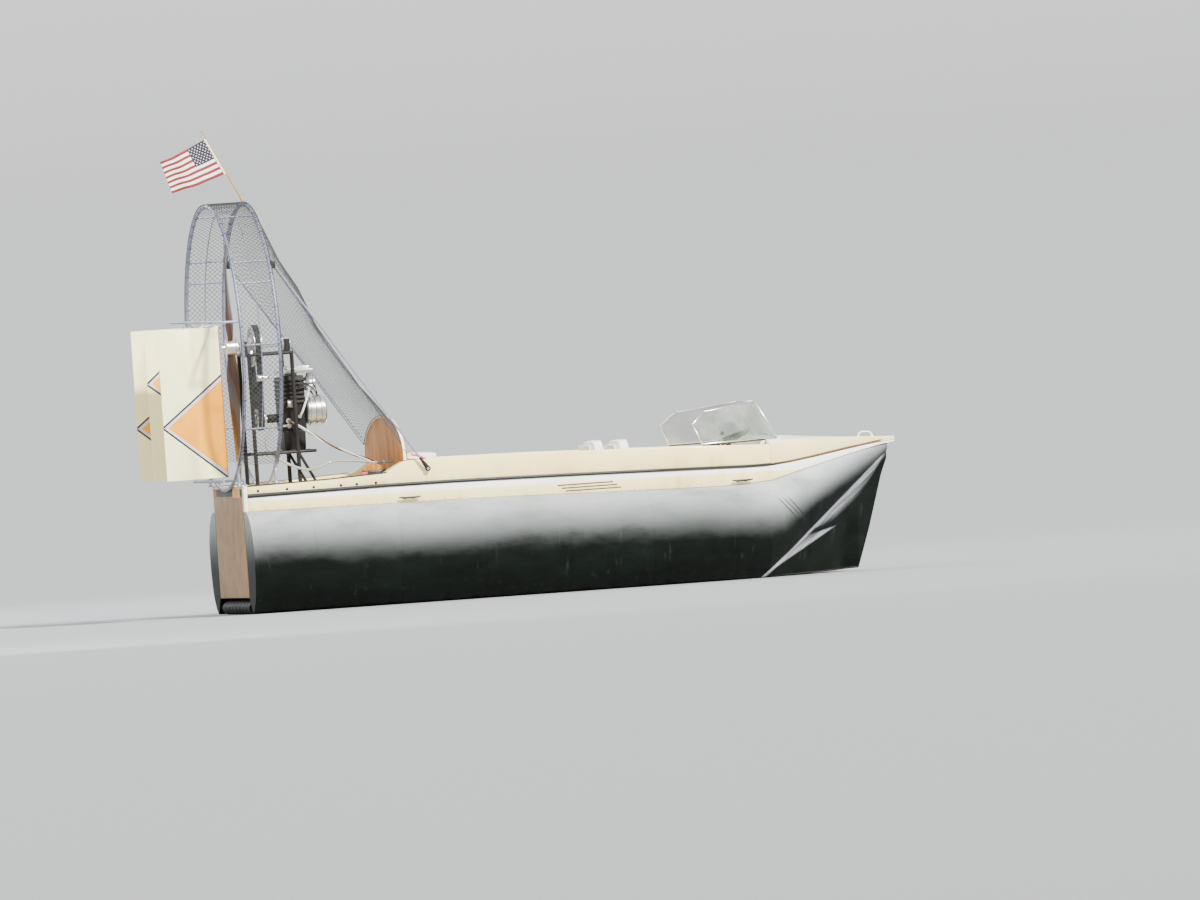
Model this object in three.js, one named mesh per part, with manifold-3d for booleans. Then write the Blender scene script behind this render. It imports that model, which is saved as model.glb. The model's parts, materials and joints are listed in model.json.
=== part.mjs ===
// A small river hovercraft: moulded hull, bag skirt, caged propeller, three rudders, open engine.
// Millimetres. X forward from the transom, Y to port, Z up from the ground it parks on.
import * as THREE from 'three';
import { mergeVertices } from 'three/addons/utils/BufferGeometryUtils.js';
import Module from 'manifold-3d';

const wasm = await Module();
wasm.setup();

const { sin, cos, sqrt, min, max, abs, PI } = Math;
const RAD = PI / 180;
const GAP = 0.3;
const SIDES = { starboard: -1, port: 1 };

// Hull lines by station: x, half beam at the deck edge, foot of the lower panel, rub rail, top edge
const HULL = [
  { x: 0, half: 600, foot: 744, rail: 857, top: 928 },
  { x: 520, half: 682, foot: 738, rail: 861, top: 936 },
  { x: 1040, half: 735, foot: 733, rail: 865, top: 957 },
  { x: 1172, half: 745, foot: 732, rail: 864, top: 1033 },
  { x: 1460, half: 757, foot: 730, rail: 863, top: 1036 },
  { x: 2340, half: 770, foot: 712, rail: 848, top: 1019 },
  { x: 3370, half: 742, foot: 687, rail: 824, top: 988 },
  { x: 3800, half: 660, foot: 689, rail: 813, top: 966 },
  { x: 3970, half: 596, foot: 716, rail: 820, top: 963 },
  { x: 4100, half: 533, foot: 750, rail: 834, top: 978 },
  { x: 4300, half: 430, foot: 794, rail: 860, top: 981 },
  { x: 4550, half: 284, foot: 847, rail: 895, top: 972 },
  { x: 4800, half: 125, foot: 896, rail: 925, top: 958 },
  { x: 4950, half: 10, foot: 914, rail: 932, top: 950 },
];
const HULL_END = 4935;
const DECK_START = 3900;
const STATIONS = [0, 30.3, 300, 600, 900, 1040, 1172, 1460, 1900, 2340, 2800, 3200, 3500, 3700, 3899.7,
  4050, 4200, 4350, 4500, 4650, 4800, 4880, HULL_END];
const CROWN = [{ x: 3900, z: 1034 }, { x: 4000, z: 1026 }, { x: 4450, z: 982 },
  { x: 4700, z: 965 }, { x: 4950, z: 952 }];

// Hull structure
const SIDE_BOX = 180;
const HULL_INSET = 60;
const FLOOR = { low: 120, top: 340, end: 4000, riseStart: 3400, rise: 0.18, taper: 0.16 };
const SIDE_END = 3700;
const AFT_DECK = { top: 886, thick: 25, end: 1171.5 };
const TRANSOM_THICK = 30;
const RAIL_HALF = 8;
const RAIL_PROUD = 12;
const DECK_WALL = 25;
const SKID = { rear: 250, foot: 3300, nose: 3560, noseZ: 60, front: 3600, y: 340, half: 30 };

// Skirt bag: widest point outside the hull, its height, the lower crease and the line on the ground
const SKIRT = [
  { x: 2, wide: 235, wideZ: 430, creaseOut: 150, creaseZ: 90, footOut: 40, footZ: 4 },
  { x: 150, wide: 243, wideZ: 430, creaseOut: 150, creaseZ: 90, footOut: 40, footZ: 4 },
  { x: 1900, wide: 245, wideZ: 430, creaseOut: 150, creaseZ: 90, footOut: 40, footZ: 4 },
  { x: 3400, wide: 243, wideZ: 430, creaseOut: 140, creaseZ: 85, footOut: 40, footZ: 4 },
  { x: 3820, wide: 235, wideZ: 440, creaseOut: 60, creaseZ: 62, footOut: 0, footZ: 4 },
  { x: 4000, wide: 180, wideZ: 490, creaseOut: 25, creaseZ: 180, footOut: -60, footZ: 6 },
  { x: 4170, wide: 108, wideZ: 560, creaseOut: 3, creaseZ: 314, footOut: -105, footZ: 8 },
  { x: 4400, wide: 60, wideZ: 665, creaseOut: -40, creaseZ: 490, footOut: -188, footZ: 12 },
  { x: 4609, wide: 24, wideZ: 765, creaseOut: -60, creaseZ: 650, footOut: -400, footZ: 19 },
  { x: 4706, wide: 10, wideZ: 810, creaseOut: -72, creaseZ: 725, footOut: -400, footZ: 299 },
  { x: 4823, wide: -4, wideZ: 866, creaseOut: -72, creaseZ: 815, footOut: -400, footZ: 687 },
  { x: 4870, wide: -6, wideZ: 888, creaseOut: -55, creaseZ: 852, footOut: -400, footZ: 800 },
];
const BOW_START = 3820;
const STEM_START = 4600;
const SKIRT_CLOTH = 45;
const SKIRT_HEM = 118;
// Bag across the stern, as x and z of its outline
const STERN_BAG = [[94, 118], [32, 95], [2, 45], [32, 6], [92, 4], [182, 70], [192, 118]];

// Propeller cage, its net, and the net that runs down from it to the arch between two stays
const CAGE = { radius: 1030, tube: 13, z: 1935, rear: -14, front: 260, bar: 7, wire: 4, leg: 11, legY: 540,
  netThick: 3, netLow: -55, netCells: [48, 2], netBar: [0.06, 0.05] };
const CAGE_BAR_ANGLES = [67, 37, 27, 1, -35];
const BONNET = { chordZ: 2870, topY: 838, inset: 40, thick: 6, clear: 4, steps: 16 };
// Rows down the net by share of the way, and how far each stands above the straight line in the middle;
// the net is tied up at the second row and hangs in behind it
const BONNET_ROWS = [{ share: 0, rise: 0 }, { share: 1 / 3, rise: 57 }, { share: 4 / 9, rise: -42 },
  { share: 0.75, rise: -19 }, { share: 1, rise: 0 }];
const STAY = { topX: 287, topY: 858, topZ: 2524, eyeX: 1337, eyeOut: 32, eyeZ: 967, radius: 8,
  eye: 20, eyeBore: 9, bolt: 10.5 };

// Bulkhead behind the cockpit
const ARCH = { x: 1172.5, thick: 28, inset: 4, shoulder: 1066, top: 1365 };

// Propeller drive
const SHAFT = { z: 1933, rear: 30, front: 540, radius: 16 };
const PROP = { x: 100, radius: 960, hub: 55, hubHalf: 32, plate: 63, pitch: 1050 };
// Blade by share of the radius: chord and thickness
const BLADE = [
  { share: 0.04, chord: 62, depth: 44 }, { share: 0.12, chord: 82, depth: 34 },
  { share: 0.25, chord: 122, depth: 24 }, { share: 0.45, chord: 138, depth: 18 },
  { share: 0.65, chord: 124, depth: 14 }, { share: 0.85, chord: 98, depth: 10 },
  { share: 0.96, chord: 72, depth: 7 }, { share: 1, chord: 34, depth: 4 },
];
// Blade section as shares of chord and thickness
const AIRFOIL = [[-0.5, 0], [-0.2, 0.5], [0.15, 0.42], [0.5, 0], [0.15, -0.2], [-0.2, -0.22]];
const PULLEY = { x: 275, width: 55, radius: 145, lowZ: 1400, lowRadius: 72, rim: 5 };
const BELT = { reach: 21.5, inside: 1, outside: 9 };
const BEARINGS = [190, 505];
const STAND = { y: 190, railZ: 1150, headZ: 1871, post: 15, rail: 12, brace: 11, head: 14, foot: 35, plate: 8,
  braceX: 640, block: 20, blockHalf: 55, blockUp: 38, crossX: [450, 585], crossHalf: 22 };

// Engine over the aft deck
const ENGINE = { rear: 420, front: 598, half: 105, low: 1305, top: 1700 };
const NOSE = { reach: 90, radius: 32 };
const FINS = { low: 1500, pitch: 32, thick: 12, proud: 14 };
// Plates of the engine's cover: x, half width and z
const COVER = [
  { x: [470, 560], half: 60, z: [1700.3, 1730] },
  { x: [430, 670], half: 118, z: [1718, 1748] },
  { x: [450, 650], half: 95, z: [1740, 1770] },
];
const OIL_PAN = { foot: 1164.5, narrow: 0.8, inset: 10 };
const CARBURETTOR = { x: [600, 700], z: 1640, radius: 42, bowlX: [622, 682], bowlHalf: 38,
  bowlZ: [1585, 1690], stubX: 652, stubY: -20, stubTop: 1712, stub: 20 };
const ALTERNATOR = { x: [602, 745], y: -62, z: 1440, radius: 100, ribs: [635, 675, 715], ribHalf: 8, rib: 110,
  nose: 34, noseLong: 15 };
const HOSE = { radius: 9, steps: 32, route: [[466, -111, 1340], [440, -140, 1341], [400, -156, 1338],
  [340, -158, 1322], [285, -160, 1265], [290, -163, 1180], [400, -185, 1080], [540, -238, 1018],
  [640, -262, 1030], [742, -262, 1062], [889, -262, 1056], [1040, -270, 1034], [1171, -275, 1030]] };
const LOOM = { radius: 11, steps: 26, route: [[464, -119, 1377], [500, -152, 1352], [610, -188, 1275],
  [700, -185, 1212], [800, -165, 1156], [900, -145, 1108], [1060, -125, 1040], [1125, -120, 974],
  [1171, -120, 968]] };

// Lift fan in the aft deck
const FAN = { x: 890, radius: 222, duct: 232, wall: 12, lip: 14, z: 720, low: 560, arm: 11, boss: 45, hub: 50,
  blades: 8, thick: 3 };
// Fan blade by radius: half chord and twist
const FAN_BLADE = [{ r: 35, half: 26, twist: 0.72 }, { r: 100, half: 44, twist: 0.6 },
  { r: 222, half: 44, twist: 0.5 }];

// Rudders
const RUDDER = { rear: -535, front: -80, hinge: -130, low: 1004, top: 2095, thick: 34, pitch: 500, pin: 8 };
const RUDDER_BAR = { topZ: 2131, lowZ: 975, radius: 9, lowHalf: 560, legX: 36, legY: 480 };
const HORN = { rear: -150, tip: -60, half: 12, top: 2101 };
const TIE = { x: -60, z: 2106, radius: 4, over: 15 };

// Flag and staff: base and tip, then the cloth's corners as x and z
const STAFF = { base: [262, 0, 2987], tip: [-10, 0, 3520], radius: 6, tipRadius: 3 };
const FLAG = { hoistTop: [12, 3452], hoistLow: [144, 3193], flyTop: [-325, 3309], flyLow: [-252, 3082],
  ripple: 14, waves: 1.2, thick: 3 };

// Windshield: the front pane rises from the deck to its top corners, the side panes run aft
const WINDSHIELD = { baseX: 3990, rake: -0.526, clear: 9, tube: 6, pane: 5, top: [3859, 345, 1277],
  baseY: [-400, -200, 0, 200, 400], aft: [3400, 640], aftClear: 13, sideTop: [[3340, 1145], [3450, 1230]] };

// Cockpit
const WHEEL = { x: 3640, y: -300, z: 1010, radius: 170, rim: 12, tilt: 20, spoke: 8, hub: 36, column: 22 };
const SEAT = { x: 2790, y: 300, width: 440, step: 70 };
// Seat and bench seen from the side: x from the seat's rear, z
const SEAT_OUTLINE = [[60, 341], [520, 341], [520, 545], [490, 580], [150, 560], [92, 1050], [75, 1080],
  [20, 1080], [0, 1050], [40, 560]];
const BENCH_OUTLINE = [[1206, 341], [1700, 341], [1700, 560], [1670, 590], [1430, 575], [1400, 1060],
  [1375, 1090], [1290, 1090], [1270, 1070], [1240, 600], [1206, 600]];
const BENCH_CLEAR = 25;
const DASH = { thick: 38, low: 640 };
const THROTTLE = { x: 3550, clear: 15, half: 40, z: [880, 950], lean: 22, top: 1066, stick: 6, knob: 15 };
const BOW_RING = { rear: 4675, front: 4775, radius: 5, foot: 12 };

const finish = (color, roughness = 0.6, metalness = 0) =>
  new THREE.MeshStandardMaterial({ color, roughness, metalness });
const CREAM = finish(0xf0ead0, 0.35);
const CREAM_LOWER = finish(0xe9e6cf, 0.4);
const DECK_WHITE = finish(0xf8f6e8, 0.35);
const WHITE = finish(0xf1f2f1, 0.5);
const TAN = finish(0xb08e60, 0.7);
const BROWN = finish(0x6b4f35, 0.7);
const SKIRT_CLOTH_GREY = finish(0x4b5552, 0.45);
const NET_BLACK = finish(0x24272b, 0.6);
const TUBE_GREY = finish(0x565c66, 0.5, 0.4);
const RUBBER = finish(0x1b1c1d, 0.8);
const IRON = finish(0x34383c, 0.55, 0.6);
const ALUMINIUM = finish(0xbfc3c6, 0.35, 0.9);
const STEEL = finish(0x9ba0a4, 0.4, 0.9);
const GLASS = new THREE.MeshStandardMaterial({ color: 0x7b8579, roughness: 0.1, opacity: 0.5,
  transparent: true });
const FLAG_CLOTH = finish(0xc9484b, 0.8);

// Value of one column of a table at a place along the craft, straight between rows
function straight(table, x, column) {
  const next = table.findIndex((row) => row.x >= x);
  if (next < 0) return table[table.length - 1][column];
  if (next === 0) return table[0][column];
  const a = table[next - 1];
  const b = table[next];
  return a[column] + (b[column] - a[column]) * (x - a.x) / (b.x - a.x);
}

// The same along a smooth curve through the rows
function smooth(table, x, column) {
  const last = table.length - 1;
  const next = table.findIndex((row) => row.x >= x);
  if (next <= 0) return straight(table, x, column);
  const rows = [max(next - 2, 0), next - 1, next, min(next + 1, last)].map((i) => table[i]);
  const [p, a, b, q] = rows;
  const span = b.x - a.x;
  const t = (x - a.x) / span;
  const slopeA = (b[column] - p[column]) / (b.x - p.x) * span;
  const slopeB = (q[column] - a[column]) / (q.x - a.x) * span;
  const t2 = t * t;
  const t3 = t2 * t;
  return (2 * t3 - 3 * t2 + 1) * a[column] + (t3 - 2 * t2 + t) * slopeA
    + (3 * t2 - 2 * t3) * b[column] + (t3 - t2) * slopeB;
}

// Hull lines as they are built, straight between stations, so that neighbours meet
const LINES = STATIONS.map((x) => ({ x, half: smooth(HULL, x, 'half'), foot: smooth(HULL, x, 'foot'),
  rail: smooth(HULL, x, 'rail'), top: straight(HULL, x, 'top') }));
const [half, foot, rail, top] = ['half', 'foot', 'rail', 'top'].map((column) =>
  (x) => straight(LINES, x, column));
const stationsBetween = (low, high, extra = []) =>
  [...new Set([...STATIONS.filter((x) => x > low && x < high), ...extra])].sort((a, b) => a - b);
const inner = (x) => max(half(x) - SIDE_BOX, GAP / 2);

// Ring flattened along the axis that its plane faces most, to be triangulated
function flatten(ring) {
  const facing = [0, 1, 2].map((k) => {
    const [u, v] = [(k + 1) % 3, (k + 2) % 3];
    return abs(ring.reduce((sum, p, i) => {
      const q = ring[(i + 1) % ring.length];
      return sum + p[u] * q[v] - q[u] * p[v];
    }, 0));
  });
  const [u, v] = [0, 1, 2].filter((k) => k !== facing.indexOf(max(...facing)));
  return ring.map((p) => new THREE.Vector2(p[u], p[v]));
}

// A closed body through rings of equally many points, capped flat at both ends
function loft(rings) {
  const count = rings[0].length;
  const index = [];
  for (let r = 0; r < rings.length - 1; r++) {
    for (let i = 0; i < count; i++) {
      const a = r * count + i;
      const b = r * count + (i + 1) % count;
      index.push(a, b, b + count, a, b + count, a + count);
    }
  }
  for (const [ring, base, along] of [[rings[0], 0, -1], [rings.at(-1), (rings.length - 1) * count, 1]]) {
    const flat = flatten(ring);
    const turn = THREE.ShapeUtils.area(flat) * along;
    for (const face of THREE.ShapeUtils.triangulateShape(flat, [])) {
      const same = THREE.ShapeUtils.area(face.map((i) => flat[i])) * turn > 0;
      index.push(...(same ? face : [face[1], face[0], face[2]]).map((i) => base + i));
    }
  }
  const geometry = new THREE.BufferGeometry();
  geometry.setAttribute('position', new THREE.Float32BufferAttribute(rings.flat(2), 3));
  geometry.setIndex(index);
  return outward(geometry);
}

// A thin sheet with a plain grid of openings: at(u, v) gives the points on its two faces, and a bar's half
// width is a share of its cell
function openSheet(at, [across, down], [barU, barV]) {
  const positions = [];
  const index = [];
  const known = new Map();
  const vertex = ([u, v], face) => {
    const key = [u.toFixed(6), v.toFixed(6), face].join();
    if (!known.has(key)) {
      known.set(key, positions.length / 3);
      positions.push(...at(u, v)[face]);
    }
    return known.get(key);
  };
  const quad = (a, b, c, d) => index.push(a, b, c, a, c, d);
  const wall = (p, q) => quad(vertex(p, 0), vertex(q, 0), vertex(q, 1), vertex(p, 1));
  for (let i = 0; i < across; i++) {
    for (let j = 0; j < down; j++) {
      const cell = (u, v) => [(i + u) / across, (j + v) / down];
      const outer = [cell(0, 0), cell(1, 0), cell(1, 1), cell(0, 1)];
      const inside = [cell(barU, barV), cell(1 - barU, barV), cell(1 - barU, 1 - barV), cell(barU, 1 - barV)];
      for (let k = 0; k < 4; k++) {
        const next = (k + 1) % 4;
        const [a, b, c, d] = [outer[k], outer[next], inside[next], inside[k]];
        quad(...[a, b, c, d].map((p) => vertex(p, 0)));
        quad(...[d, c, b, a].map((p) => vertex(p, 1)));
        wall(d, c);
      }
      if (j === 0) wall(outer[1], outer[0]);
      if (i === across - 1) wall(outer[2], outer[1]);
      if (j === down - 1) wall(outer[3], outer[2]);
      if (i === 0) wall(outer[0], outer[3]);
    }
  }
  const geometry = new THREE.BufferGeometry();
  geometry.setAttribute('position', new THREE.Float32BufferAttribute(positions, 3));
  geometry.setIndex(index);
  return outward(geometry);
}

// Faces of a closed mesh turned to point outwards
function outward(geometry) {
  const p = geometry.attributes.position;
  const index = geometry.index.array;
  let volume = 0;
  const [a, b, c] = [new THREE.Vector3(), new THREE.Vector3(), new THREE.Vector3()];
  for (let i = 0; i < index.length; i += 3) {
    a.fromBufferAttribute(p, index[i]);
    b.fromBufferAttribute(p, index[i + 1]);
    c.fromBufferAttribute(p, index[i + 2]);
    volume += a.dot(b.cross(c));
  }
  if (volume < 0) {
    for (let i = 0; i < index.length; i += 3) [index[i], index[i + 1]] = [index[i + 1], index[i]];
  }
  return geometry;
}

// Joins and cuts
function toSolid(geometry) {
  const bare = geometry.clone();
  for (const name of Object.keys(bare.attributes)) if (name !== 'position') bare.deleteAttribute(name);
  const merged = mergeVertices(bare, 1e-3);
  const mesh = new wasm.Mesh({ numProp: 3, vertProperties: new Float32Array(merged.attributes.position.array),
    triVerts: new Uint32Array(merged.index.array) });
  return new wasm.Manifold(mesh);
}

function fromSolid(solid) {
  const { vertProperties, triVerts } = solid.getMesh();
  const geometry = new THREE.BufferGeometry();
  geometry.setAttribute('position', new THREE.Float32BufferAttribute(vertProperties, 3));
  geometry.setIndex([...triVerts]);
  return geometry;
}

const join = (...pieces) => fromSolid(pieces.map(toSolid).reduce((whole, piece) => whole.add(piece)));
const cut = (body, ...tools) => fromSolid(tools.map(toSolid).reduce((b, t) => b.subtract(t), toSolid(body)));

// Simple shapes at their place
function box([x0, x1], [y0, y1], [z0, z1]) {
  return new THREE.BoxGeometry(x1 - x0, y1 - y0, z1 - z0)
    .translate((x0 + x1) / 2, (y0 + y1) / 2, (z0 + z1) / 2);
}

// A round bar from one point to another
function rod(from, to, radius, sides = 8, endRadius = radius) {
  const a = new THREE.Vector3(...from);
  const b = new THREE.Vector3(...to);
  const along = b.clone().sub(a);
  const turn = new THREE.Quaternion().setFromUnitVectors(new THREE.Vector3(0, 1, 0),
    along.clone().normalize());
  return new THREE.CylinderGeometry(endRadius, radius, along.length(), sides).applyQuaternion(turn)
    .translate(...a.add(b).multiplyScalar(0.5).toArray());
}

// A round body turned about an axis through a point; the profile gives radius and height pairs
function turned(profile, [x, y, z], axis, segments = 32) {
  const points = profile.map(([r, h]) => new THREE.Vector2(r, h));
  const geometry = new THREE.LatheGeometry([...points, points[0]], segments);
  if (axis === 'x') geometry.rotateZ(-PI / 2);
  if (axis === 'z') geometry.rotateX(PI / 2);
  return geometry.translate(x, y, z);
}

// An outline in the side view (x, z), given a width from y0 to y1
function sideCut(outline, y0, y1) {
  return loft([y0, y1].map((y) => outline.map(([x, z]) => [x, y, z])));
}

// A hose through hand-placed points
function hose(points, radius, steps, sides = 8) {
  const section = new THREE.Shape();
  for (let i = 0; i < sides; i++) {
    const angle = i * 2 * PI / sides;
    section[i ? 'lineTo' : 'moveTo'](radius * cos(angle), radius * sin(angle));
  }
  const route = new THREE.CatmullRomCurve3(points.map((p) => new THREE.Vector3(...p)));
  return new THREE.ExtrudeGeometry(section, { steps, extrudePath: route });
}

// A point on the propeller cage circle; angle is measured up from level on the given side
const onCage = (x, side, angle, radius = CAGE.radius) =>
  [x, side * radius * cos(angle * RAD), CAGE.z + radius * sin(angle * RAD)];

const group = new THREE.Group();

function add(name, geometry, material) {
  const mesh = new THREE.Mesh(geometry, material);
  mesh.name = name;
  group.add(mesh);
  return mesh;
}

// Long strips that follow the side of the hull
function strip(side, stations, insideY, outsideY, lowZ, topZ) {
  return loft(stations.map((x) => {
    const [a, b, low, high] = [insideY(x), outsideY(x), lowZ(x), topZ(x)];
    return [[x, side * a, low], [x, side * b, low], [x, side * b, high], [x, side * a, high]];
  }));
}

function hull() {
  const past = (x) => max(0, x - FLOOR.riseStart);
  const floorHalf = (x) => half(x) - HULL_INSET - past(x) * FLOOR.taper;
  const places = stationsBetween(1, FLOOR.end, [FLOOR.riseStart, 3600, 3800, FLOOR.end]);
  const slab = loft(places.map((x) => {
    const [wide, low] = [floorHalf(x), FLOOR.low + past(x) * FLOOR.rise];
    return [[x, -wide, low], [x, wide, low], [x, wide, FLOOR.top], [x, -wide, FLOOR.top]];
  }));
  add('hull_floor', cut(slab, rod([FAN.x, 0, 0], [FAN.x, 0, FLOOR.top + 60], FAN.duct, 32)), BROWN);
  const [wide, narrow] = [half(0), half(0) - HULL_INSET];
  const panel = [[-narrow, FLOOR.low], [narrow, FLOOR.low], [narrow, foot(0)], [wide, foot(0)],
    [wide, top(0)], [-wide, top(0)], [-wide, foot(0)], [-narrow, foot(0)]];
  add('transom', loft([0, TRANSOM_THICK].map((x) => panel.map(([y, z]) => [x, y, z]))), CREAM);

  const whole = stationsBetween(1, HULL_END, [HULL_END]);
  for (const [name, side] of Object.entries(SIDES)) {
    add(`hull_side_${name}`, strip(side, stationsBetween(1, SIDE_END, [SIDE_END]), inner,
      (x) => half(x) - HULL_INSET, () => FLOOR.top + GAP, (x) => foot(x) - GAP), BROWN);
    add(`lower_panel_${name}`, strip(side, whole, inner, half, foot,
      (x) => rail(x) - RAIL_HALF - GAP), CREAM_LOWER);
    add(`coaming_${name}`, strip(side, stationsBetween(1, DECK_START), inner, half,
      (x) => rail(x) + RAIL_HALF + GAP, top), CREAM);
    add(`skirt_${name}`, skirtSide(side), SKIRT_CLOTH_GREY);
    const skid = [[SKID.rear, 0], [SKID.foot, 0], [SKID.nose, SKID.noseZ], [SKID.front, FLOOR.low - GAP],
      [SKID.rear, FLOOR.low - GAP]];
    add(`skid_${name}`, sideCut(skid, side * SKID.y - SKID.half, side * SKID.y + SKID.half), ALUMINIUM);
  }
  const rails = [-1, 1].map((side) => strip(side, whole, inner, (x) => half(x) + RAIL_PROUD,
    (x) => rail(x) - RAIL_HALF, (x) => rail(x) + RAIL_HALF));
  const noseZ = rail(HULL_END);
  add('rub_rail', join(...rails, box([HULL_END - 60, HULL_END], [-1, 1],
    [noseZ - RAIL_HALF + 1, noseZ + RAIL_HALF - 1])), RUBBER);
  const sternHalf = half(0) - HULL_INSET - 20;
  add('skirt_stern', sideCut(STERN_BAG, -sternHalf, sternHalf), SKIRT_CLOTH_GREY);
  const deck = loft(stationsBetween(1, AFT_DECK.end, [AFT_DECK.end]).map((x) => {
    const y = inner(x) - GAP;
    const low = AFT_DECK.top - AFT_DECK.thick;
    return [[x, -y, low], [x, y, low], [x, y, AFT_DECK.top], [x, -y, AFT_DECK.top]];
  }));
  const hole = rod([FAN.x, 0, AFT_DECK.top - 90], [FAN.x, 0, AFT_DECK.top + 90], FAN.duct + FAN.wall + 3, 32);
  add('aft_deck', cut(deck, hole), CREAM);
  add('foredeck', foredeck(), DECK_WHITE);
}

// Bag over the side, then the raked wedge at the bow; closed along the hull or the middle plane
function skirtSide(side) {
  const across = 4;
  const places = stationsBetween(1, SKIRT.at(-1).x, SKIRT.map((row) => row.x));
  return loft(places.map((x) => {
    const at = (column) => straight(SKIRT, x, column);
    const edge = { y: half(x), z: foot(x) - GAP };
    const wide = { y: half(x) + at('wide'), z: at('wideZ') };
    const crease = { y: max(half(x) + at('creaseOut'), 6), z: at('creaseZ') };
    const ground = { y: max(half(x) + at('footOut'), 1), z: at('footZ') };
    const outer = [];
    for (let i = 0; i <= across; i++) {
      const a = i / across * PI / 2;
      outer.push([edge.y + (wide.y - edge.y) * sin(a), wide.z + (edge.z - wide.z) * cos(a)]);
    }
    for (let i = 1; i <= across; i++) {
      const a = i / across * PI / 2 * 0.8;
      const full = PI / 2 * 0.8;
      outer.push([crease.y + (wide.y - crease.y) * (cos(a) - cos(full)) / (1 - cos(full)),
        wide.z + (crease.z - wide.z) * sin(a) / sin(full)]);
    }
    outer.push([(crease.y + ground.y) / 2, (crease.z + ground.z) / 2 - 6], [ground.y, ground.z]);
    const last = outer.length - 1;
    const lining = outer.map(([y, z], i) => {
      const share = i / last;
      if (x < BOW_START) {
        return [half(x) - SKIRT_CLOTH, edge.z + (SKIRT_HEM - edge.z) * share];
      }
      if (x < STEM_START) return [max(y - SKIRT_CLOTH, GAP / 2), z + 40 * share];
      return [GAP / 2, edge.z + (ground.z + 30 - edge.z) * share];
    });
    return [...outer, ...lining.reverse()].map(([y, z]) => [x, side * y, z]);
  }));
}

// Crowned deck moulding with its sides down to the rub rail
function foredeck() {
  const across = 10;
  const places = stationsBetween(DECK_START, HULL_END, [DECK_START, HULL_END]);
  return loft(places.map((x) => {
    const edge = half(x);
    const low = rail(x) + RAIL_HALF + GAP;
    const crown = smooth(CROWN, x, 'z') - top(x);
    const shrink = max(1 - DECK_WALL / edge, 0.3);
    const arc = [];
    for (let i = 0; i <= across; i++) {
      const y = edge * (1 - 2 * i / across);
      arc.push([y, top(x) + crown * (1 - (y / edge) ** 2)]);
    }
    const under = arc.map(([y, z]) => [y * shrink, max(z - DECK_WALL, low + 1)]).reverse();
    return [[edge, low], ...arc, [-edge, low], [-edge * shrink, low], ...under, [edge * shrink, low]]
      .map(([y, z]) => [x, y, z]);
  }));
}

// Outline of the arch above its shoulder
const archOut = half(ARCH.x) - ARCH.inset;
const archZ = (y) => ARCH.shoulder + (ARCH.top - ARCH.shoulder) * sqrt(1 - (y / archOut) ** 2);

// Arched panel between the engine bay and the cockpit
function bulkhead() {
  const y = inner(ARCH.x) - GAP;
  const sill = top(ARCH.x) + 2;
  const low = FLOOR.top + GAP;
  const points = [[-y, low], [y, low], [y, sill], [archOut, sill], [archOut, ARCH.shoulder]];
  const steps = 16;
  for (let i = 1; i < steps; i++) {
    const across = archOut * cos(i / steps * PI);
    points.push([across, archZ(across)]);
  }
  points.push([-archOut, ARCH.shoulder], [-archOut, sill], [-y, sill]);
  const ends = [ARCH.x, ARCH.x + ARCH.thick];
  add('arch_bulkhead', loft(ends.map((x) => points.map(([v, z]) => [x, v, z]))), TAN);
}

function cage() {
  const legTop = CAGE.z - sqrt(CAGE.radius ** 2 - CAGE.legY ** 2);
  for (const end of ['rear', 'front']) {
    const x = CAGE[end];
    const hoop = new THREE.TorusGeometry(CAGE.radius, CAGE.tube, 6, 48).rotateY(PI / 2)
      .translate(x, 0, CAGE.z);
    const deck = top(x + 60) + 1;
    const legs = [-1, 1].flatMap((s) => [
      rod([x, s * CAGE.legY, deck + 3], [x, s * CAGE.legY, legTop], CAGE.leg),
      box([x - CAGE.tube, x + 50], [s * CAGE.legY - 30, s * CAGE.legY + 30], [deck, deck + 6])]);
    add(`cage_hoop_${end}`, join(hoop, ...legs), TUBE_GREY);
  }
  const ends = [CAGE.rear + CAGE.tube + 2 * GAP, CAGE.front - CAGE.tube - 2 * GAP];
  for (const [name, side] of Object.entries(SIDES)) {
    const bars = CAGE_BAR_ANGLES.map((angle) =>
      rod(onCage(ends[0], side, angle), onCage(ends[1], side, angle), CAGE.bar, 6));
    const [high, low] = [CAGE_BAR_ANGLES[0], CAGE_BAR_ANGLES.at(-1)];
    const ring = [0, 1, 2, 3, 4, 5, 6].map((i) =>
      onCage((ends[0] + ends[1]) / 2, side, high + (low - high) * i / 6));
    add(`cage_bars_${name}`, join(...bars, hose(ring, CAGE.wire, 18, 6)), TUBE_GREY);
  }
  const sweep = 180 - 2 * CAGE.netLow;
  const net = (CAGE.radius + CAGE.tube + GAP) / cos(sweep / CAGE.netCells[0] / 2 * RAD);
  const [rear, front] = [CAGE.rear - CAGE.tube, CAGE.front + CAGE.tube];
  const onNet = (u, v) => [0, CAGE.netThick].map((out) =>
    onCage(rear + (front - rear) * v, 1, CAGE.netLow + sweep * u, net + out));
  add('cage_net', openSheet(onNet, CAGE.netCells, CAGE.netBar), NET_BLACK);
  add('bonnet_net', bonnet(), NET_BLACK);
  for (const [name, side] of Object.entries(SIDES)) add(`stay_${name}`, stay(side), RUBBER);
}

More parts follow.
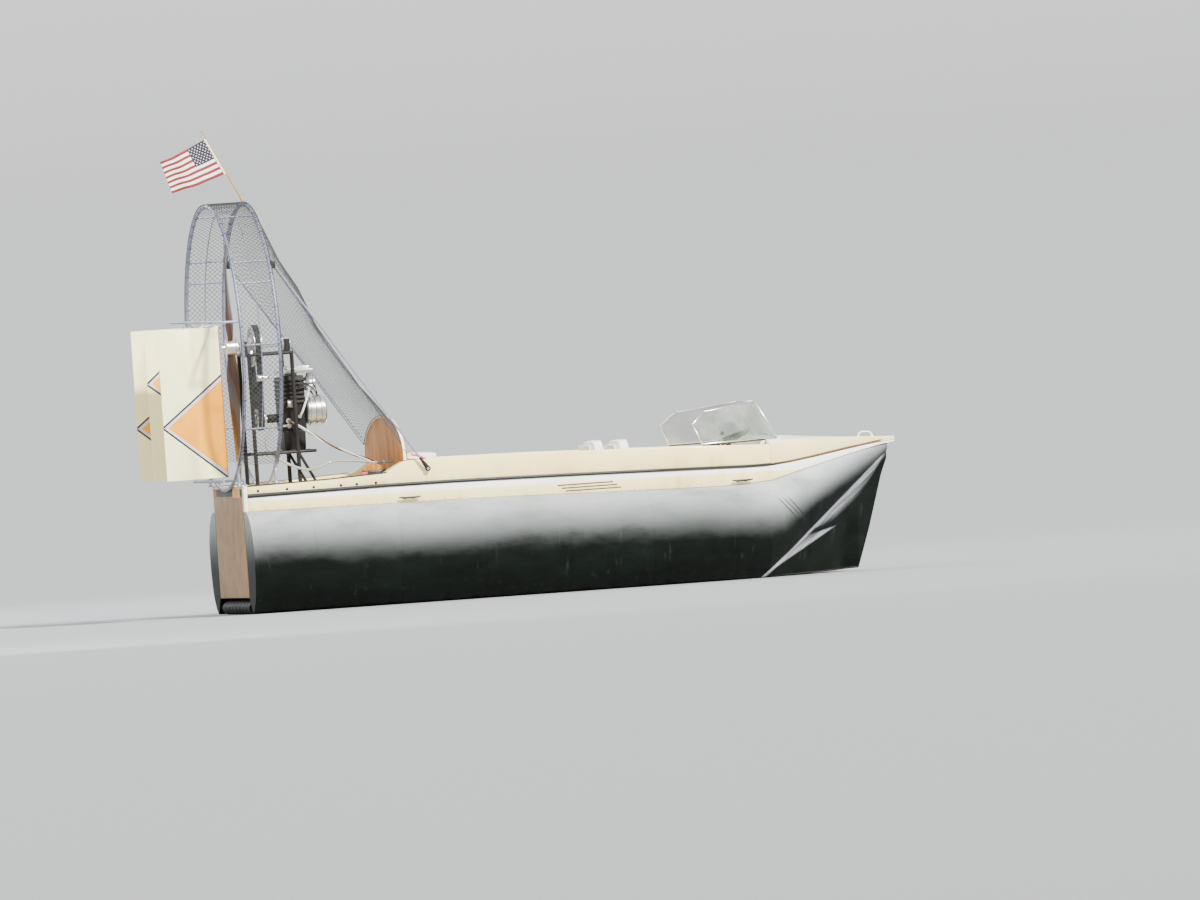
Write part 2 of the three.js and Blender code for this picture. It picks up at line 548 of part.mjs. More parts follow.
// Rod from the front hoop down to an eye bolted to the coaming
function stay(side) {
  const hullY = half(STAY.eyeX);
  const eye = [STAY.eyeX, side * (hullY + STAY.eyeOut), STAY.eyeZ];
  const ring = turned([[STAY.eyeBore, -4], [STAY.eye, -4], [STAY.eye, 4], [STAY.eyeBore, 4]], eye, 'y', 16);
  const bolt = rod([STAY.eyeX, side * (hullY + 1), STAY.eyeZ], [STAY.eyeX, eye[1] + side * 10, STAY.eyeZ],
    STAY.bolt);
  const from = new THREE.Vector3(STAY.topX, side * STAY.topY, STAY.topZ);
  const to = new THREE.Vector3(...eye);
  const short = from.clone().sub(to).normalize().multiplyScalar(STAY.eye - 6);
  return join(rod(from.toArray(), to.add(short).toArray(), STAY.radius), ring, bolt);
}

// Net from the front hoop down between the stays to the arch
function bonnet() {
  const startX = CAGE.front + CAGE.tube + BONNET.clear;
  const endX = ARCH.x - BONNET.clear - 2;
  const endY = half(ARCH.x) - BONNET.inset;
  const rings = [];
  for (let i = 0; i <= BONNET.steps; i++) {
    const side = 1 - 2 * i / BONNET.steps;
    const upperY = BONNET.topY * side;
    const upperZ = min(CAGE.z + sqrt((CAGE.radius - 2) ** 2 - upperY ** 2), BONNET.chordZ);
    const [lowerY, lowerZ] = [endY * side, archZ(endY * side) - 3];
    const line = BONNET_ROWS.map(({ share, rise }) => [startX + (endX - startX) * share,
      upperY + (lowerY - upperY) * share,
      upperZ + (lowerZ - upperZ) * share + rise * (1 - side * side)]);
    rings.push([...line, ...line.map(([x, y, z]) => [x, y, z - BONNET.thick]).reverse()]);
  }
  return loft(rings);
}

// Two-bladed propeller on its shaft, with the belt pulley
function propeller() {
  const blade = loft(BLADE.map(({ share, chord, depth }) => {
    const r = PROP.radius * share;
    const angle = Math.atan(PROP.pitch / (2 * PI * max(r, 150)));
    return AIRFOIL.map(([s, t]) => [PROP.x + s * chord * sin(angle) + t * depth * cos(angle),
      s * chord * cos(angle) - t * depth * sin(angle), SHAFT.z + r]);
  }));
  const other = blade.clone().translate(0, 0, -SHAFT.z).rotateX(PI).translate(0, 0, SHAFT.z);
  const round = (x0, x1, radius, sides = 24) => rod([x0, 0, SHAFT.z], [x1, 0, SHAFT.z], radius, sides);
  const hub = round(PROP.x - PROP.hubHalf, PROP.x + PROP.hubHalf, PROP.hub);
  const plate = round(PROP.x - PROP.hubHalf - 8, PROP.x - PROP.hubHalf + 1, PROP.plate);
  const bore = round(SHAFT.rear - 30, PULLEY.x, SHAFT.radius + GAP);
  add('propeller', cut(join(blade, other, hub, plate), bore), TAN);
  add('prop_shaft', join(round(SHAFT.rear, SHAFT.front, SHAFT.radius), pulley(SHAFT.z, PULLEY.radius)),
    ALUMINIUM);
  const stub = rod([PULLEY.x - 30, 0, PULLEY.lowZ], [ENGINE.rear - NOSE.reach - 1, 0, PULLEY.lowZ],
    SHAFT.radius, 24);
  add('crank_pulley', join(pulley(PULLEY.lowZ, PULLEY.lowRadius), stub), ALUMINIUM);
}

// Flat belt pulley with a rim at each side
function pulley(z, radius) {
  const h = PULLEY.width / 2;
  const [rim, bore] = [PULLEY.rim, SHAFT.radius - 4];
  return turned([[bore, -h], [radius + rim, -h], [radius + rim, rim - h], [radius, rim - h],
    [radius, h - rim], [radius + rim, h - rim], [radius + rim, h], [bore, h]], [PULLEY.x, 0, z], 'x', 28);
}

// Belt loop round both pulleys
function belt() {
  const lean = Math.asin((PULLEY.radius - PULLEY.lowRadius) / (SHAFT.z - PULLEY.lowZ));
  const steps = 16;
  const around = (radius, z, from, sweep, out) => Array.from({ length: steps + 1 }, (_, i) => {
    const a = from + sweep * i / steps;
    return [(radius + out) * cos(a), z + (radius + out) * sin(a)];
  });
  const layer = (out, reach) => {
    const outline = [...around(PULLEY.radius, SHAFT.z, -lean, PI + 2 * lean, out),
      ...around(PULLEY.lowRadius, PULLEY.lowZ, PI + lean, PI - 2 * lean, out)];
    return loft([-reach, reach].map((d) => outline.map(([y, z]) => [PULLEY.x + d, y, z])));
  };
  add('drive_belt', cut(layer(BELT.outside, BELT.reach), layer(BELT.inside, BELT.reach + 1)), RUBBER);
}

// Stand of posts and rails that carries the shaft bearings and the engine
function driveFrame() {
  const low = AFT_DECK.top + 1;
  const { y, railZ, headZ } = STAND;
  const [rear, front] = BEARINGS;
  const footPlate = (x, side, size) => box([x - size, x + size], [side * y - size, side * y + size],
    [low, low + STAND.plate]);
  const pieces = [-1, 1].flatMap((s) => [
    ...BEARINGS.flatMap((x) => [rod([x, s * y, low], [x, s * y, headZ], STAND.post),
      footPlate(x, s, STAND.foot)]),
    rod([rear, s * y, headZ], [front, s * y, headZ], STAND.rail),
    rod([rear, s * y, railZ], [STAND.braceX, s * y, railZ], STAND.rail),
    rod([front, s * y, railZ], [STAND.braceX - 4, s * y, low + 12], STAND.brace),
    footPlate(STAND.braceX, s, STAND.foot - 5)]);
  for (const x of BEARINGS) {
    pieces.push(rod([x, -y, headZ], [x, y, headZ], STAND.head));
    pieces.push(box([x - STAND.block, x + STAND.block], [-STAND.blockHalf, STAND.blockHalf],
      [headZ, SHAFT.z + STAND.blockUp]));
  }
  for (const x of STAND.crossX) {
    pieces.push(box([x - STAND.crossHalf, x + STAND.crossHalf], [-y, y], [railZ + 4, railZ + 14]));
  }
  const bore = rod([rear - 90, 0, SHAFT.z], [front + 95, 0, SHAFT.z], SHAFT.radius + 1, 24);
  add('drive_frame', cut(join(...pieces), bore), IRON);
}

function engine() {
  const { rear, front, half: wide, low, top: high } = ENGINE;
  const fins = [];
  for (let z = FINS.low; z < high - FINS.thick; z += FINS.pitch) {
    fins.push(box([rear - 6, front], [-wide - FINS.proud, wide + FINS.proud], [z, z + FINS.thick]));
  }
  add('engine_block', join(box([rear, front], [-wide, wide], [low, high]), ...fins,
    rod([rear - NOSE.reach, 0, PULLEY.lowZ], [rear + 10, 0, PULLEY.lowZ], NOSE.radius, 20)), IRON);
  add('engine_cover', join(...COVER.map((plate) => box(plate.x, [-plate.half, plate.half], plate.z))),
    ALUMINIUM);
  const pan = [[OIL_PAN.foot, OIL_PAN.narrow], [low - GAP, 1]].map(([z, k]) =>
    [[rear, -1], [front, -1], [front, 1], [rear, 1]].map(([x, s]) =>
      [x + (x === rear ? 1 : -1) * OIL_PAN.inset, s * wide * k, z]));
  add('oil_pan', loft(pan), RUBBER);

  const c = CARBURETTOR;
  add('carburettor', join(rod([c.x[0], 0, c.z], [c.x[1], 0, c.z], c.radius, 16),
    box(c.bowlX, [-c.bowlHalf, c.bowlHalf], c.bowlZ),
    rod([c.stubX, c.stubY, c.bowlZ[1] - 10], [c.stubX, c.stubY, c.stubTop], c.stub, 12)), ALUMINIUM);
  const a = ALTERNATOR;
  const round = (x0, x1, radius, sides = 20) => rod([x0, a.y, a.z], [x1, a.y, a.z], radius, sides);
  const ribs = a.ribs.map((x) => round(x - a.ribHalf, x + a.ribHalf, a.rib));
  add('alternator', join(round(...a.x, a.radius), ...ribs,
    round(a.x[1] - 1, a.x[1] + a.noseLong, a.nose, 12)), ALUMINIUM);
  add('coolant_hose', hose(HOSE.route, HOSE.radius, HOSE.steps), STEEL);
  add('wire_loom', hose(LOOM.route, LOOM.radius, LOOM.steps), RUBBER);
}

// Lift fan in its duct through the aft deck
function liftFan() {
  const { x, duct, wall, z, low } = FAN;
  const lip = AFT_DECK.top + FAN.lip;
  const shell = turned([[duct, FLOOR.top + 1], [duct + wall, FLOOR.top + 1], [duct + wall, lip], [duct, lip]],
    [x, 0, 0], 'z', 24);
  const reach = duct + 4;
  const arms = [0, 60, 120].map((degrees) => {
    const [across, along] = [reach * cos(degrees * RAD), reach * sin(degrees * RAD)];
    return rod([x - across, -along, low], [x + across, along, low], FAN.arm);
  });
  add('lift_duct', join(shell, ...arms, rod([x, 0, low - 30], [x, 0, low + 40], FAN.boss, 20)), ALUMINIUM);
  const blade = loft(FAN_BLADE.map(({ r, half: c, twist }) =>
    [[-c, -1], [c, -1], [c, 1], [-c, 1]].map(([u, s]) => [r,
      u * cos(twist) - s * FAN.thick * sin(twist), u * sin(twist) + s * FAN.thick * cos(twist)])));
  const blades = Array.from({ length: FAN.blades }, (_, i) =>
    blade.clone().rotateZ(i * 2 * PI / FAN.blades).translate(x, 0, z));
  add('lift_fan', join(rod([x, 0, low + 46], [x, 0, z + 35], FAN.hub, 20), ...blades), IRON);
}

function rudders() {
  const t = RUDDER.thick / 2;
  const { front, rear, hinge, pitch } = RUDDER;
  const skin = [[front - 4, 0.5], [front - 20, 0.82], [front - 70, 1], [front - 160, 0.95], [rear, 0.18]];
  const plan = [[front, 0], ...skin, ...skin.map(([x, v]) => [x, -v]).reverse()];
  for (const [name, place] of [['starboard', -1], ['centre', 0], ['port', 1]]) {
    const y = place * pitch;
    const blade = loft([RUDDER.low, RUDDER.top].map((z) => plan.map(([x, v]) => [x, v * t + y, z])));
    const pin = rod([hinge, y, RUDDER_BAR.lowZ + RUDDER_BAR.radius + 1],
      [hinge, y, RUDDER_BAR.topZ - RUDDER_BAR.radius - 1], RUDDER.pin, 12);
    const horn = box([HORN.rear, HORN.tip + 10], [y - HORN.half, y + HORN.half], [RUDDER.top - 5, HORN.top]);
    add(`rudder_${name}`, join(blade, pin, horn), CREAM);
  }
  const tieHalf = pitch + TIE.over;
  add('rudder_tie_bar', rod([TIE.x, -tieHalf, TIE.z], [TIE.x, tieHalf, TIE.z], TIE.radius), STEEL);

  const { topZ, lowZ, radius, legX, legY } = RUDDER_BAR;
  const hoopY = sqrt(CAGE.radius ** 2 - (topZ - CAGE.z) ** 2);
  const bar = (y, z) => rod([hinge, -y, z], [hinge, y, z], radius, 10);
  const arm = (y, z, x) => rod([hinge - 6, y, z], [x, y, z], radius, 10);
  const hoopX = CAGE.rear - CAGE.tube - 0.5;
  add('rudder_frame_top', join(bar(hoopY, topZ), arm(-hoopY, topZ, hoopX), arm(hoopY, topZ, hoopX)),
    TUBE_GREY);
  const deck = top(legX) + 1;
  add('rudder_frame_bottom', join(bar(RUDDER_BAR.lowHalf, lowZ), ...[-legY, legY].flatMap((y) => [
    arm(y, lowZ, legX + 4), rod([legX, y, lowZ], [legX, y, deck + 2], radius),
    box([legX - 32, legX + 32], [y - 26, y + 26], [deck, deck + 6])])), TUBE_GREY);
}

function flag() {
  add('flag_staff', rod(STAFF.base, STAFF.tip, STAFF.radius, 8, STAFF.tipRadius), WHITE);
  const steps = 10;
  const rings = [];
  for (let i = 0; i <= steps; i++) {
    const t = i / steps;
    const y = FLAG.ripple * sin(t * FLAG.waves * 2 * PI) * t;
    const mix = (a, b) => [a[0] + (b[0] - a[0]) * t, a[1] + (b[1] - a[1]) * t];
    const [high, low] = [mix(FLAG.hoistTop, FLAG.flyTop), mix(FLAG.hoistLow, FLAG.flyLow)];
    const side = FLAG.thick / 2;
    rings.push([[high, -side], [high, side], [low, side], [low, -side]].map(([[x, z], s]) => [x, y + s, z]));
  }
  add('flag', loft(rings), FLAG_CLOTH);
}

// Height of the foredeck's outer surface
function deckZ(x, y) {
  const crown = smooth(CROWN, x, 'z') - top(x);
  return top(x) + crown * (1 - (y / half(x)) ** 2);
}

function windshield() {
  const { rake, clear, tube, baseX, baseY, top: corner, aft: [aftX, aftY] } = WINDSHIELD;
  const base = baseY.map((y) => {
    const z = deckZ(baseX, y) + clear;
    return [corner[0] + (z - corner[2]) * rake, y, z];
  });
  const flip = (points) => points.map(([x, y, z]) => [x, -y, z]);
  const front = [...base, corner, ...flip([corner])];
  const aft = [aftX, aftY, top(aftX) + WINDSHIELD.aftClear];
  const [a, b, c] = [base.at(-1), aft, corner].map((p) => new THREE.Vector3(...p));
  const normal = b.sub(a).cross(c.sub(a)).normalize();
  const onSide = ([x, z]) => [x, a.y - (normal.x * (x - a.x) + normal.z * (z - a.z)) / normal.y, z];
  const side = [base.at(-1), aft, ...WINDSHIELD.sideTop.map(onSide), corner];
  const edge = (points, radius) => points.map((p, i) => rod(p, points[(i + 1) % points.length], radius, 6));
  const frame = (radius) => join(...[front, side, flip(side)].flatMap((points) => edge(points, radius)));
  const pane = (points) => {
    const [p, q, r] = [points[0], points[1], points.at(-1)].map((v) => new THREE.Vector3(...v));
    const n = q.sub(p).cross(r.sub(p)).normalize().multiplyScalar(WINDSHIELD.pane / 2);
    return loft([-1, 1].map((s) => points.map(([x, y, z]) => [x + s * n.x, y + s * n.y, z + s * n.z])));
  };
  add('windshield_frame', frame(tube), ALUMINIUM);
  const wide = frame(tube + GAP);
  for (const [name, points] of Object.entries({ front, port: side, starboard: flip(side) })) {
    add(`windshield_${name}`, cut(pane(points), wide), GLASS);
  }
}

function cockpit() {
  steering();
  const wide = inner(DECK_START) - 2;
  const face = [[-wide, DASH.low], [wide, DASH.low]];
  for (let i = 0; i <= 8; i++) {
    const y = wide * (1 - i / 4);
    face.push([y, deckZ(DECK_START, y) - 3]);
  }
  const ends = [DECK_START - DASH.thick, DECK_START - GAP];
  add('dash', loft(ends.map((x) => face.map(([y, z]) => [x, y, z]))), WHITE);

  const { x, half: reach, z, lean, top: high } = THROTTLE;
  const y = THROTTLE.clear - inner(x + reach);
  add('throttle_lever', join(box([x - reach, x + reach], [y - 14, y + 14], z),
    rod([x, y, z[1] - 10], [x + lean, y, high - 4], THROTTLE.stick),
    new THREE.SphereGeometry(THROTTLE.knob, 10, 6).translate(x + lean, y, high)), RUBBER);

  for (const [name, side] of Object.entries(SIDES)) {
    const rear = SEAT.x - (side > 0 ? SEAT.step : 0);
    const outline = SEAT_OUTLINE.map(([dx, up]) => [rear + dx, up]);
    const middle = side * SEAT.y;
    add(`seat_${name}`, sideCut(outline, middle - SEAT.width / 2, middle + SEAT.width / 2), WHITE);
  }
  const benchHalf = inner(1300) - BENCH_CLEAR;
  add('rear_bench', sideCut(BENCH_OUTLINE, -benchHalf, benchHalf), WHITE);
}

// Wheel, and the column that leans forward from the floor to it
function steering() {
  const lean = WHEEL.tilt * RAD;
  const spokes = [90, 210, 330].map((angle) => rod([0, 0, -8],
    [WHEEL.radius * cos(angle * RAD), WHEEL.radius * sin(angle * RAD), 0], WHEEL.spoke));
  const wheel = join(new THREE.TorusGeometry(WHEEL.radius, WHEEL.rim, 8, 28), ...spokes,
    rod([0, 0, -22], [0, 0, 12], WHEEL.hub, 20));
  add('steering_wheel', wheel.rotateY(-lean).translate(WHEEL.x, WHEEL.y, WHEEL.z), RUBBER);
  const down = (d) => [WHEEL.x + d * sin(lean), WHEEL.y, WHEEL.z - d * cos(lean)];
  const [footX] = down((WHEEL.z - FLOOR.top) / cos(lean));
  const base = box([footX - 45, footX + 45], [WHEEL.y - 45, WHEEL.y + 45], [FLOOR.top + GAP, FLOOR.top + 14]);
  add('steering_column', join(rod(down(28), down((WHEEL.z - FLOOR.top - 10) / cos(lean)), WHEEL.column, 16),
    base), IRON);
}

// Ring on the bow for a painter
function bowRing() {
  const { rear, front, radius } = BOW_RING;
  const at = (x, up) => [x, 0, deckZ(x, 0) + up];
  const rise = [[0, 2], [3, 18], [20, 32]];
  const loop = [...rise.map(([d, up]) => at(rear + d, up)), at((rear + front) / 2, 36),
    ...rise.map(([d, up]) => at(front - d, up)).reverse()];
  add('bow_ring', join(hose(loop, radius, 14),
    ...[rear, front].map((x) => rod(at(x, 0.8), at(x, 5), BOW_RING.foot, 12))), WHITE);
}

hull();
bulkhead();
cage();
propeller();
belt();
driveFrame();
engine();
liftFan();
rudders();
flag();
windshield();
cockpit();
bowRing();

// The origin is on the ground under the middle of the craft's length
group.position.x = -(HULL_END + RUDDER.rear) / 2;

export default group;
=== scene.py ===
"""A small river hovercraft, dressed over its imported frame. Metres: X forward, Y to port, Z up."""
import json
import math

import bmesh
import bpy
from mathutils import Matrix, Quaternion, Vector, noise

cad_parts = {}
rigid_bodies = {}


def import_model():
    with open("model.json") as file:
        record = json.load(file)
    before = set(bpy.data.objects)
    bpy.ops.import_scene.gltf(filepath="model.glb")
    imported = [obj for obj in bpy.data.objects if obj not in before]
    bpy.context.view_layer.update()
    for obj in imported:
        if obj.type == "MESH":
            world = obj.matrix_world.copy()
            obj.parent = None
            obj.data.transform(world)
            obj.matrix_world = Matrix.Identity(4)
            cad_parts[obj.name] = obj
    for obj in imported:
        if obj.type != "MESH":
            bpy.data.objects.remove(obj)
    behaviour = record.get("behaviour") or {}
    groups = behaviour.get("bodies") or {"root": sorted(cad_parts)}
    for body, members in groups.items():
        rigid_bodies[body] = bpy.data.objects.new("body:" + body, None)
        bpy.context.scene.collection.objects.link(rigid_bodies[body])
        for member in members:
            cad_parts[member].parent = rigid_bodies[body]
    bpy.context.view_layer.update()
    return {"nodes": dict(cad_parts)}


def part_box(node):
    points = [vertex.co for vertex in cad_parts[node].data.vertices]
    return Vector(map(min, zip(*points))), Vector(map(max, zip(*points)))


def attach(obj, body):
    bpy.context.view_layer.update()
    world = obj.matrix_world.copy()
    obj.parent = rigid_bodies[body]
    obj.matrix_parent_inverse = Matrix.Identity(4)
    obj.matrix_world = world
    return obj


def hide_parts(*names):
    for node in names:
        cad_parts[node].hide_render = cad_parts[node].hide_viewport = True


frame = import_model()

NODES = frame["nodes"]
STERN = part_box("transom")[0][0]
SIDES = {"starboard": -1, "port": 1}
FORWARD, ACROSS, UPWARD = (1, 0, 0), (0, 1, 0), (0, 0, 1)

# Camera: where the photograph's middle falls on the craft, and how the craft lies in the picture
LOOK_AT = Vector((0.565, 0.0, 1.002))
AZIMUTH = math.radians(-11)
ELEVATION = math.radians(0.6)
ROLL = math.radians(4.0)
DISTANCE = 250.0
PHOTO_WIDTH = 8.696

# Skirt bag in metres from the stern: widest point outside the hull and its height, lower crease, ground line
SKIRT_COLUMNS = ("x", "wide", "wide_z", "crease", "crease_z", "ground", "ground_z")
SKIRT = [dict(zip(SKIRT_COLUMNS, row)) for row in (
    (0.002, 0.235, 0.430, 0.150, 0.090, 0.040, 0.004),
    (0.150, 0.243, 0.430, 0.150, 0.090, 0.040, 0.004),
    (1.900, 0.245, 0.430, 0.150, 0.090, 0.040, 0.004),
    (3.400, 0.243, 0.430, 0.140, 0.085, 0.040, 0.004),
    (3.820, 0.235, 0.440, 0.060, 0.062, 0.000, 0.004),
    (4.000, 0.180, 0.490, 0.025, 0.180, -0.060, 0.006),
    (4.170, 0.108, 0.560, 0.003, 0.314, -0.105, 0.008),
    (4.400, 0.060, 0.665, -0.040, 0.490, -0.188, 0.012),
    (4.609, 0.024, 0.765, -0.060, 0.650, -0.400, 0.019),
    (4.706, 0.010, 0.810, -0.072, 0.725, -0.400, 0.299),
    (4.823, -0.004, 0.866, -0.072, 0.815, -0.400, 0.687),
    (4.870, -0.006, 0.888, -0.055, 0.852, -0.400, 0.800),
)]
BOW_START = 3.82
STEM_START = 4.60
SKIRT_CLOTH = 0.045
SKIRT_HEM = 0.118
SKIRT_PANEL, HEM_FINGER = 0.62, 0.205

# The fold along the raked bow: a line in the side view, from its foot to the stem
FOLD_FOOT = (3.83, 0.058)
FOLD_HEAD = (4.847, 0.825)
FOLD_SLOPE = (FOLD_HEAD[1] - FOLD_FOOT[1]) / (FOLD_HEAD[0] - FOLD_FOOT[0])

# Creases on the shoulder of the bow: their upper end, their lean and the gap between the dark lines of
# painted shade in them
CREASE_X, CREASE_Z, CREASE_LEAN, CREASE_GAP = 3.883, 0.581, 0.97, 0.0416

# Propeller cage and drive
CAGE_RADIUS, CAGE_Z, CAGE_REAR, CAGE_FRONT, TUBE = 1.030, 1.935, -0.014, 0.260, 0.013
NET_RADIUS, NET_LOW, NET_MESH, NET_WIRE = 1.0465, -55, 0.026, 0.0015
SHAFT_Z, CRANK_Z = 1.933, 1.400
PULLEY_X, TOP_PULLEY, CRANK_PULLEY, BELT_HALF = 0.275, 0.145, 0.072, 0.0215
BEARINGS_X = (0.190, 0.505)

# Rudders
RUDDER_REAR, RUDDER_FRONT, RUDDER_LOW, RUDDER_TOP = -0.535, -0.080, 1.004, 2.095
HINGE, RUDDER_THICK = -0.130, 0.034
RUDDER_PLACES = {"starboard": -0.5, "centre": 0.0, "port": 0.5}

FLOOR_TOP, DECK_TOP = 0.3405, 0.8955


def craft(x, y, z):
    """A place measured forward from the stern."""
    return Vector((STERN + x, y, z))


def about(x, y, z, radius, angle):
    """A place on a circle round the fore-and-aft line through y and z."""
    return craft(x, y + radius * math.cos(angle), z + radius * math.sin(angle))


def linear(*rgb):
    """A colour given as 0 to 255 on the usual screen scale."""
    return tuple(c / 255 / 12.92 if c <= 10 else ((c / 255 + 0.055) / 1.055) ** 2.4 for c in rgb) + (1.0,)


def mixed(a, b, t):
    return a + (b - a) * t


def smoothstep(low, high, value):
    t = min(max((value - low) / (high - low), 0), 1)
    return t * t * (3 - 2 * t)


def between_rows(rows, x, column):
    """A column's value at x, straight between the rows of a table."""
    for a, b in zip(rows, rows[1:]):
        if x <= b["x"]:
            return mixed(a[column], b[column], max((x - a["x"]) / (b["x"] - a["x"]), 0))
    return rows[-1][column]


def read_strip(node):
    """Outer face of a long hull strip, read from its solid: half beam, lowest and highest z by x."""
    places = {}
    for vertex in NODES[node].data.vertices:
        places.setdefault(round(vertex.co.x - STERN, 3), []).append((abs(vertex.co.y), vertex.co.z))
    rows = []
    for x in sorted(places):
        half = max(y for y, z in places[x])
        heights = [z for y, z in places[x] if y > half - 0.001]
        rows.append({"x": x, "half": half, "low": min(heights), "high": max(heights)})
    return rows


PANEL = read_strip("lower_panel_starboard")
COAMING = read_strip("coaming_starboard")
DECK = read_strip("foredeck")


# Shader and geometry trees

class Tree:
    """A node tree, and the one way to add a node to it."""

    def __init__(self, tree):
        self.tree = tree

    def node(self, kind, settings=None, inputs=None, out=0):
        made = self.tree.nodes.new(kind)
        for name, value in (settings or {}).items():
            setattr(made, name, value)
        for name, value in (inputs or {}).items():
            self.feed(made.inputs[name], value)
        return Value(self, made.outputs[out])

    def feed(self, socket, value):
        if isinstance(value, Value):
            self.tree.links.new(value.socket, socket)
        else:
            socket.default_value = value


class Value:
    """One socket that sums, products and comparisons can be written with."""

    def __init__(self, owner, socket):
        self.owner, self.socket = owner, socket

    def maths(self, operation, *values):
        return self.owner.node("ShaderNodeMath", {"operation": operation}, dict(enumerate(values)))

    def __add__(self, other):
        return self.maths("ADD", self, other)

    def __radd__(self, other):
        return self.maths("ADD", other, self)

    def __sub__(self, other):
        return self.maths("SUBTRACT", self, other)

    def __rsub__(self, other):
        return self.maths("SUBTRACT", other, self)

    def __mul__(self, other):
        return self.maths("MULTIPLY", self, other)

    def __rmul__(self, other):
        return self.maths("MULTIPLY", other, self)

    def __truediv__(self, other):
        return self.maths("DIVIDE", self, other)

    def __mod__(self, other):
        return self.maths("FLOORED_MODULO", self, other)

    def __abs__(self):
        return self.maths("ABSOLUTE", self)

    def __gt__(self, other):
        return self.maths("GREATER_THAN", self, other)

    def __lt__(self, other):
        return self.maths("LESS_THAN", self, other)

    def floor(self):
        return self.maths("FLOOR", self)

    def least(self, other):
        return self.maths("MINIMUM", self, other)

    def most(self, other):
        return self.maths("MAXIMUM", self, other)

    def ramp(self, low, high):
        """0 at low, 1 at high, smooth between."""
        return self.owner.node("ShaderNodeMapRange", {"interpolation_type": "SMOOTHSTEP"},
                               {"Value": self, "From Min": low, "From Max": high})


class Paint(Tree):
    """A material: one Principled shader and what feeds it."""

    def __init__(self, name, roughness=0.5, metallic=0.0, **constants):
        self.material = bpy.data.materials.new(name)
        self.material.use_nodes = True
        super().__init__(self.material.node_tree)
        self.shader = self.tree.nodes["Principled BSDF"]
        self.set(Roughness=roughness, Metallic=metallic, **constants)
        self.place = self.node("ShaderNodeTexCoord", out="Object")
        self.x, self.y, self.z = self.parts(self.place)

    def parts(self, vector):
        split = self.node("ShaderNodeSeparateXYZ", inputs={0: vector}).socket.node
        return [Value(self, out) for out in split.outputs]

    def set(self, **inputs):
        for name, value in inputs.items():
            self.feed(self.shader.inputs[name.replace("_", " ")], value)
        return self

    def at(self, scale, turn=(0, 0, 0)):
        """Object coordinates stretched by a scale for each axis."""
        return self.node("ShaderNodeMapping", inputs={"Vector": self.place, "Scale": scale, "Rotation": turn})

    def noise(self, scale, detail=4.0, roughness=0.5, at=None):
        return self.node("ShaderNodeTexNoise", inputs={
            "Vector": at or self.place, "Scale": scale, "Detail": detail, "Roughness": roughness})

    def cells(self, scale, feature="F1"):
        return self.node("ShaderNodeTexVoronoi", {"feature": feature}, {"Vector": self.place, "Scale": scale})

    def bands(self, scale, across, distortion=0.0):
        return self.node("ShaderNodeTexWave", {"wave_type": "BANDS", "bands_direction": across},
                         {"Vector": self.place, "Scale": scale, "Distortion": distortion, "Detail": 2.0})

    def mix(self, factor, a, b):
        made = self.node("ShaderNodeMix", {"data_type": "RGBA"}, out=2)
        for index, value in ((0, factor), (6, a), (7, b)):
            self.feed(made.socket.node.inputs[index], value)
        return made

    def bump(self, height, distance):
        """Relief of a height from 0 to 1 times a distance in metres."""
        return self.set(Normal=self.node("ShaderNodeBump", inputs={"Height": height, "Distance": distance}))


# Finishes

def worn(name, colour, dirt, roughness, spread, grain, depth, metallic=0.0):
    """A painted, cast or moulded finish with blotches, fine grain and dirt in the blotches."""
    p = Paint(name, roughness, metallic)
    blotch = p.noise(2.6, 6.0, 0.6)
    fine = p.noise(grain, 3.0)
    speck = p.noise(26.0, 4.0, 0.6)
    soil = blotch.ramp(0.45, 0.8) * spread + speck.ramp(0.55, 0.8) * spread * 0.5 + fine * 0.05
    p.set(Base_Color=p.mix(soil, linear(*colour), linear(*dirt)),
          Roughness=(roughness - 0.1) + 0.14 * blotch + 0.08 * fine)
    return p.bump(fine, depth)


def gelcoat(name, colour, dirt, low, high, top=None, highlight_under_rail=None):
    """Glossy moulding with orange peel and spray dirt towards its foot; top is a lighter colour painted on
    level faces as a painted highlight, and the colour for under the rail is a painted highlight band just
    below the rub rail.
    """
    p = Paint(name, 0.3, Coat_Weight=0.5, Coat_Roughness=0.12)
    streak = p.noise(7.0, 5.0, 0.65, p.at((1.0, 1.0, 0.25)))
    cloud = p.noise(1.7, 3.0, 0.5)
    grime = ((1 - p.z.ramp(low, high)) * 0.5 + 0.1) * streak.ramp(0.42, 0.75)
    body = linear(*colour)
    # Painted highlight: faces that look up take the lighter top colour.
    if top:
        up = p.parts(p.node("ShaderNodeNewGeometry", out="Normal"))[2]
        body = p.mix(up.ramp(0.6, 0.85), body, linear(*top))
    # Painted highlight: a near-white band on the lower panel just under the rub rail.
    if highlight_under_rail:
        aft_x, fore_x = 0.5, 3.4
        aft, fore = (between_rows(PANEL, x, "high") for x in (aft_x, fore_x))
        line = aft + (p.x - STERN - aft_x) * ((fore - aft) / (fore_x - aft_x))
        body = p.mix((p.z - line).ramp(-0.050, -0.025), body, linear(*highlight_under_rail))
    tint = p.mix(cloud.ramp(0.35, 0.75) * 0.12, body, linear(*dirt))
    scratch = p.noise(60.0, 2.0, 0.5, p.at((0.05, 1.0, 1.0)))
    p.set(Base_Color=p.mix(grime + scratch.ramp(0.68, 0.8) * 0.12, tint, linear(*dirt)),
          Roughness=0.24 + 0.25 * grime + 0.06 * scratch)
    return p.bump(p.noise(160.0, 2.0) * 0.5 + streak * 0.5, 0.0004)


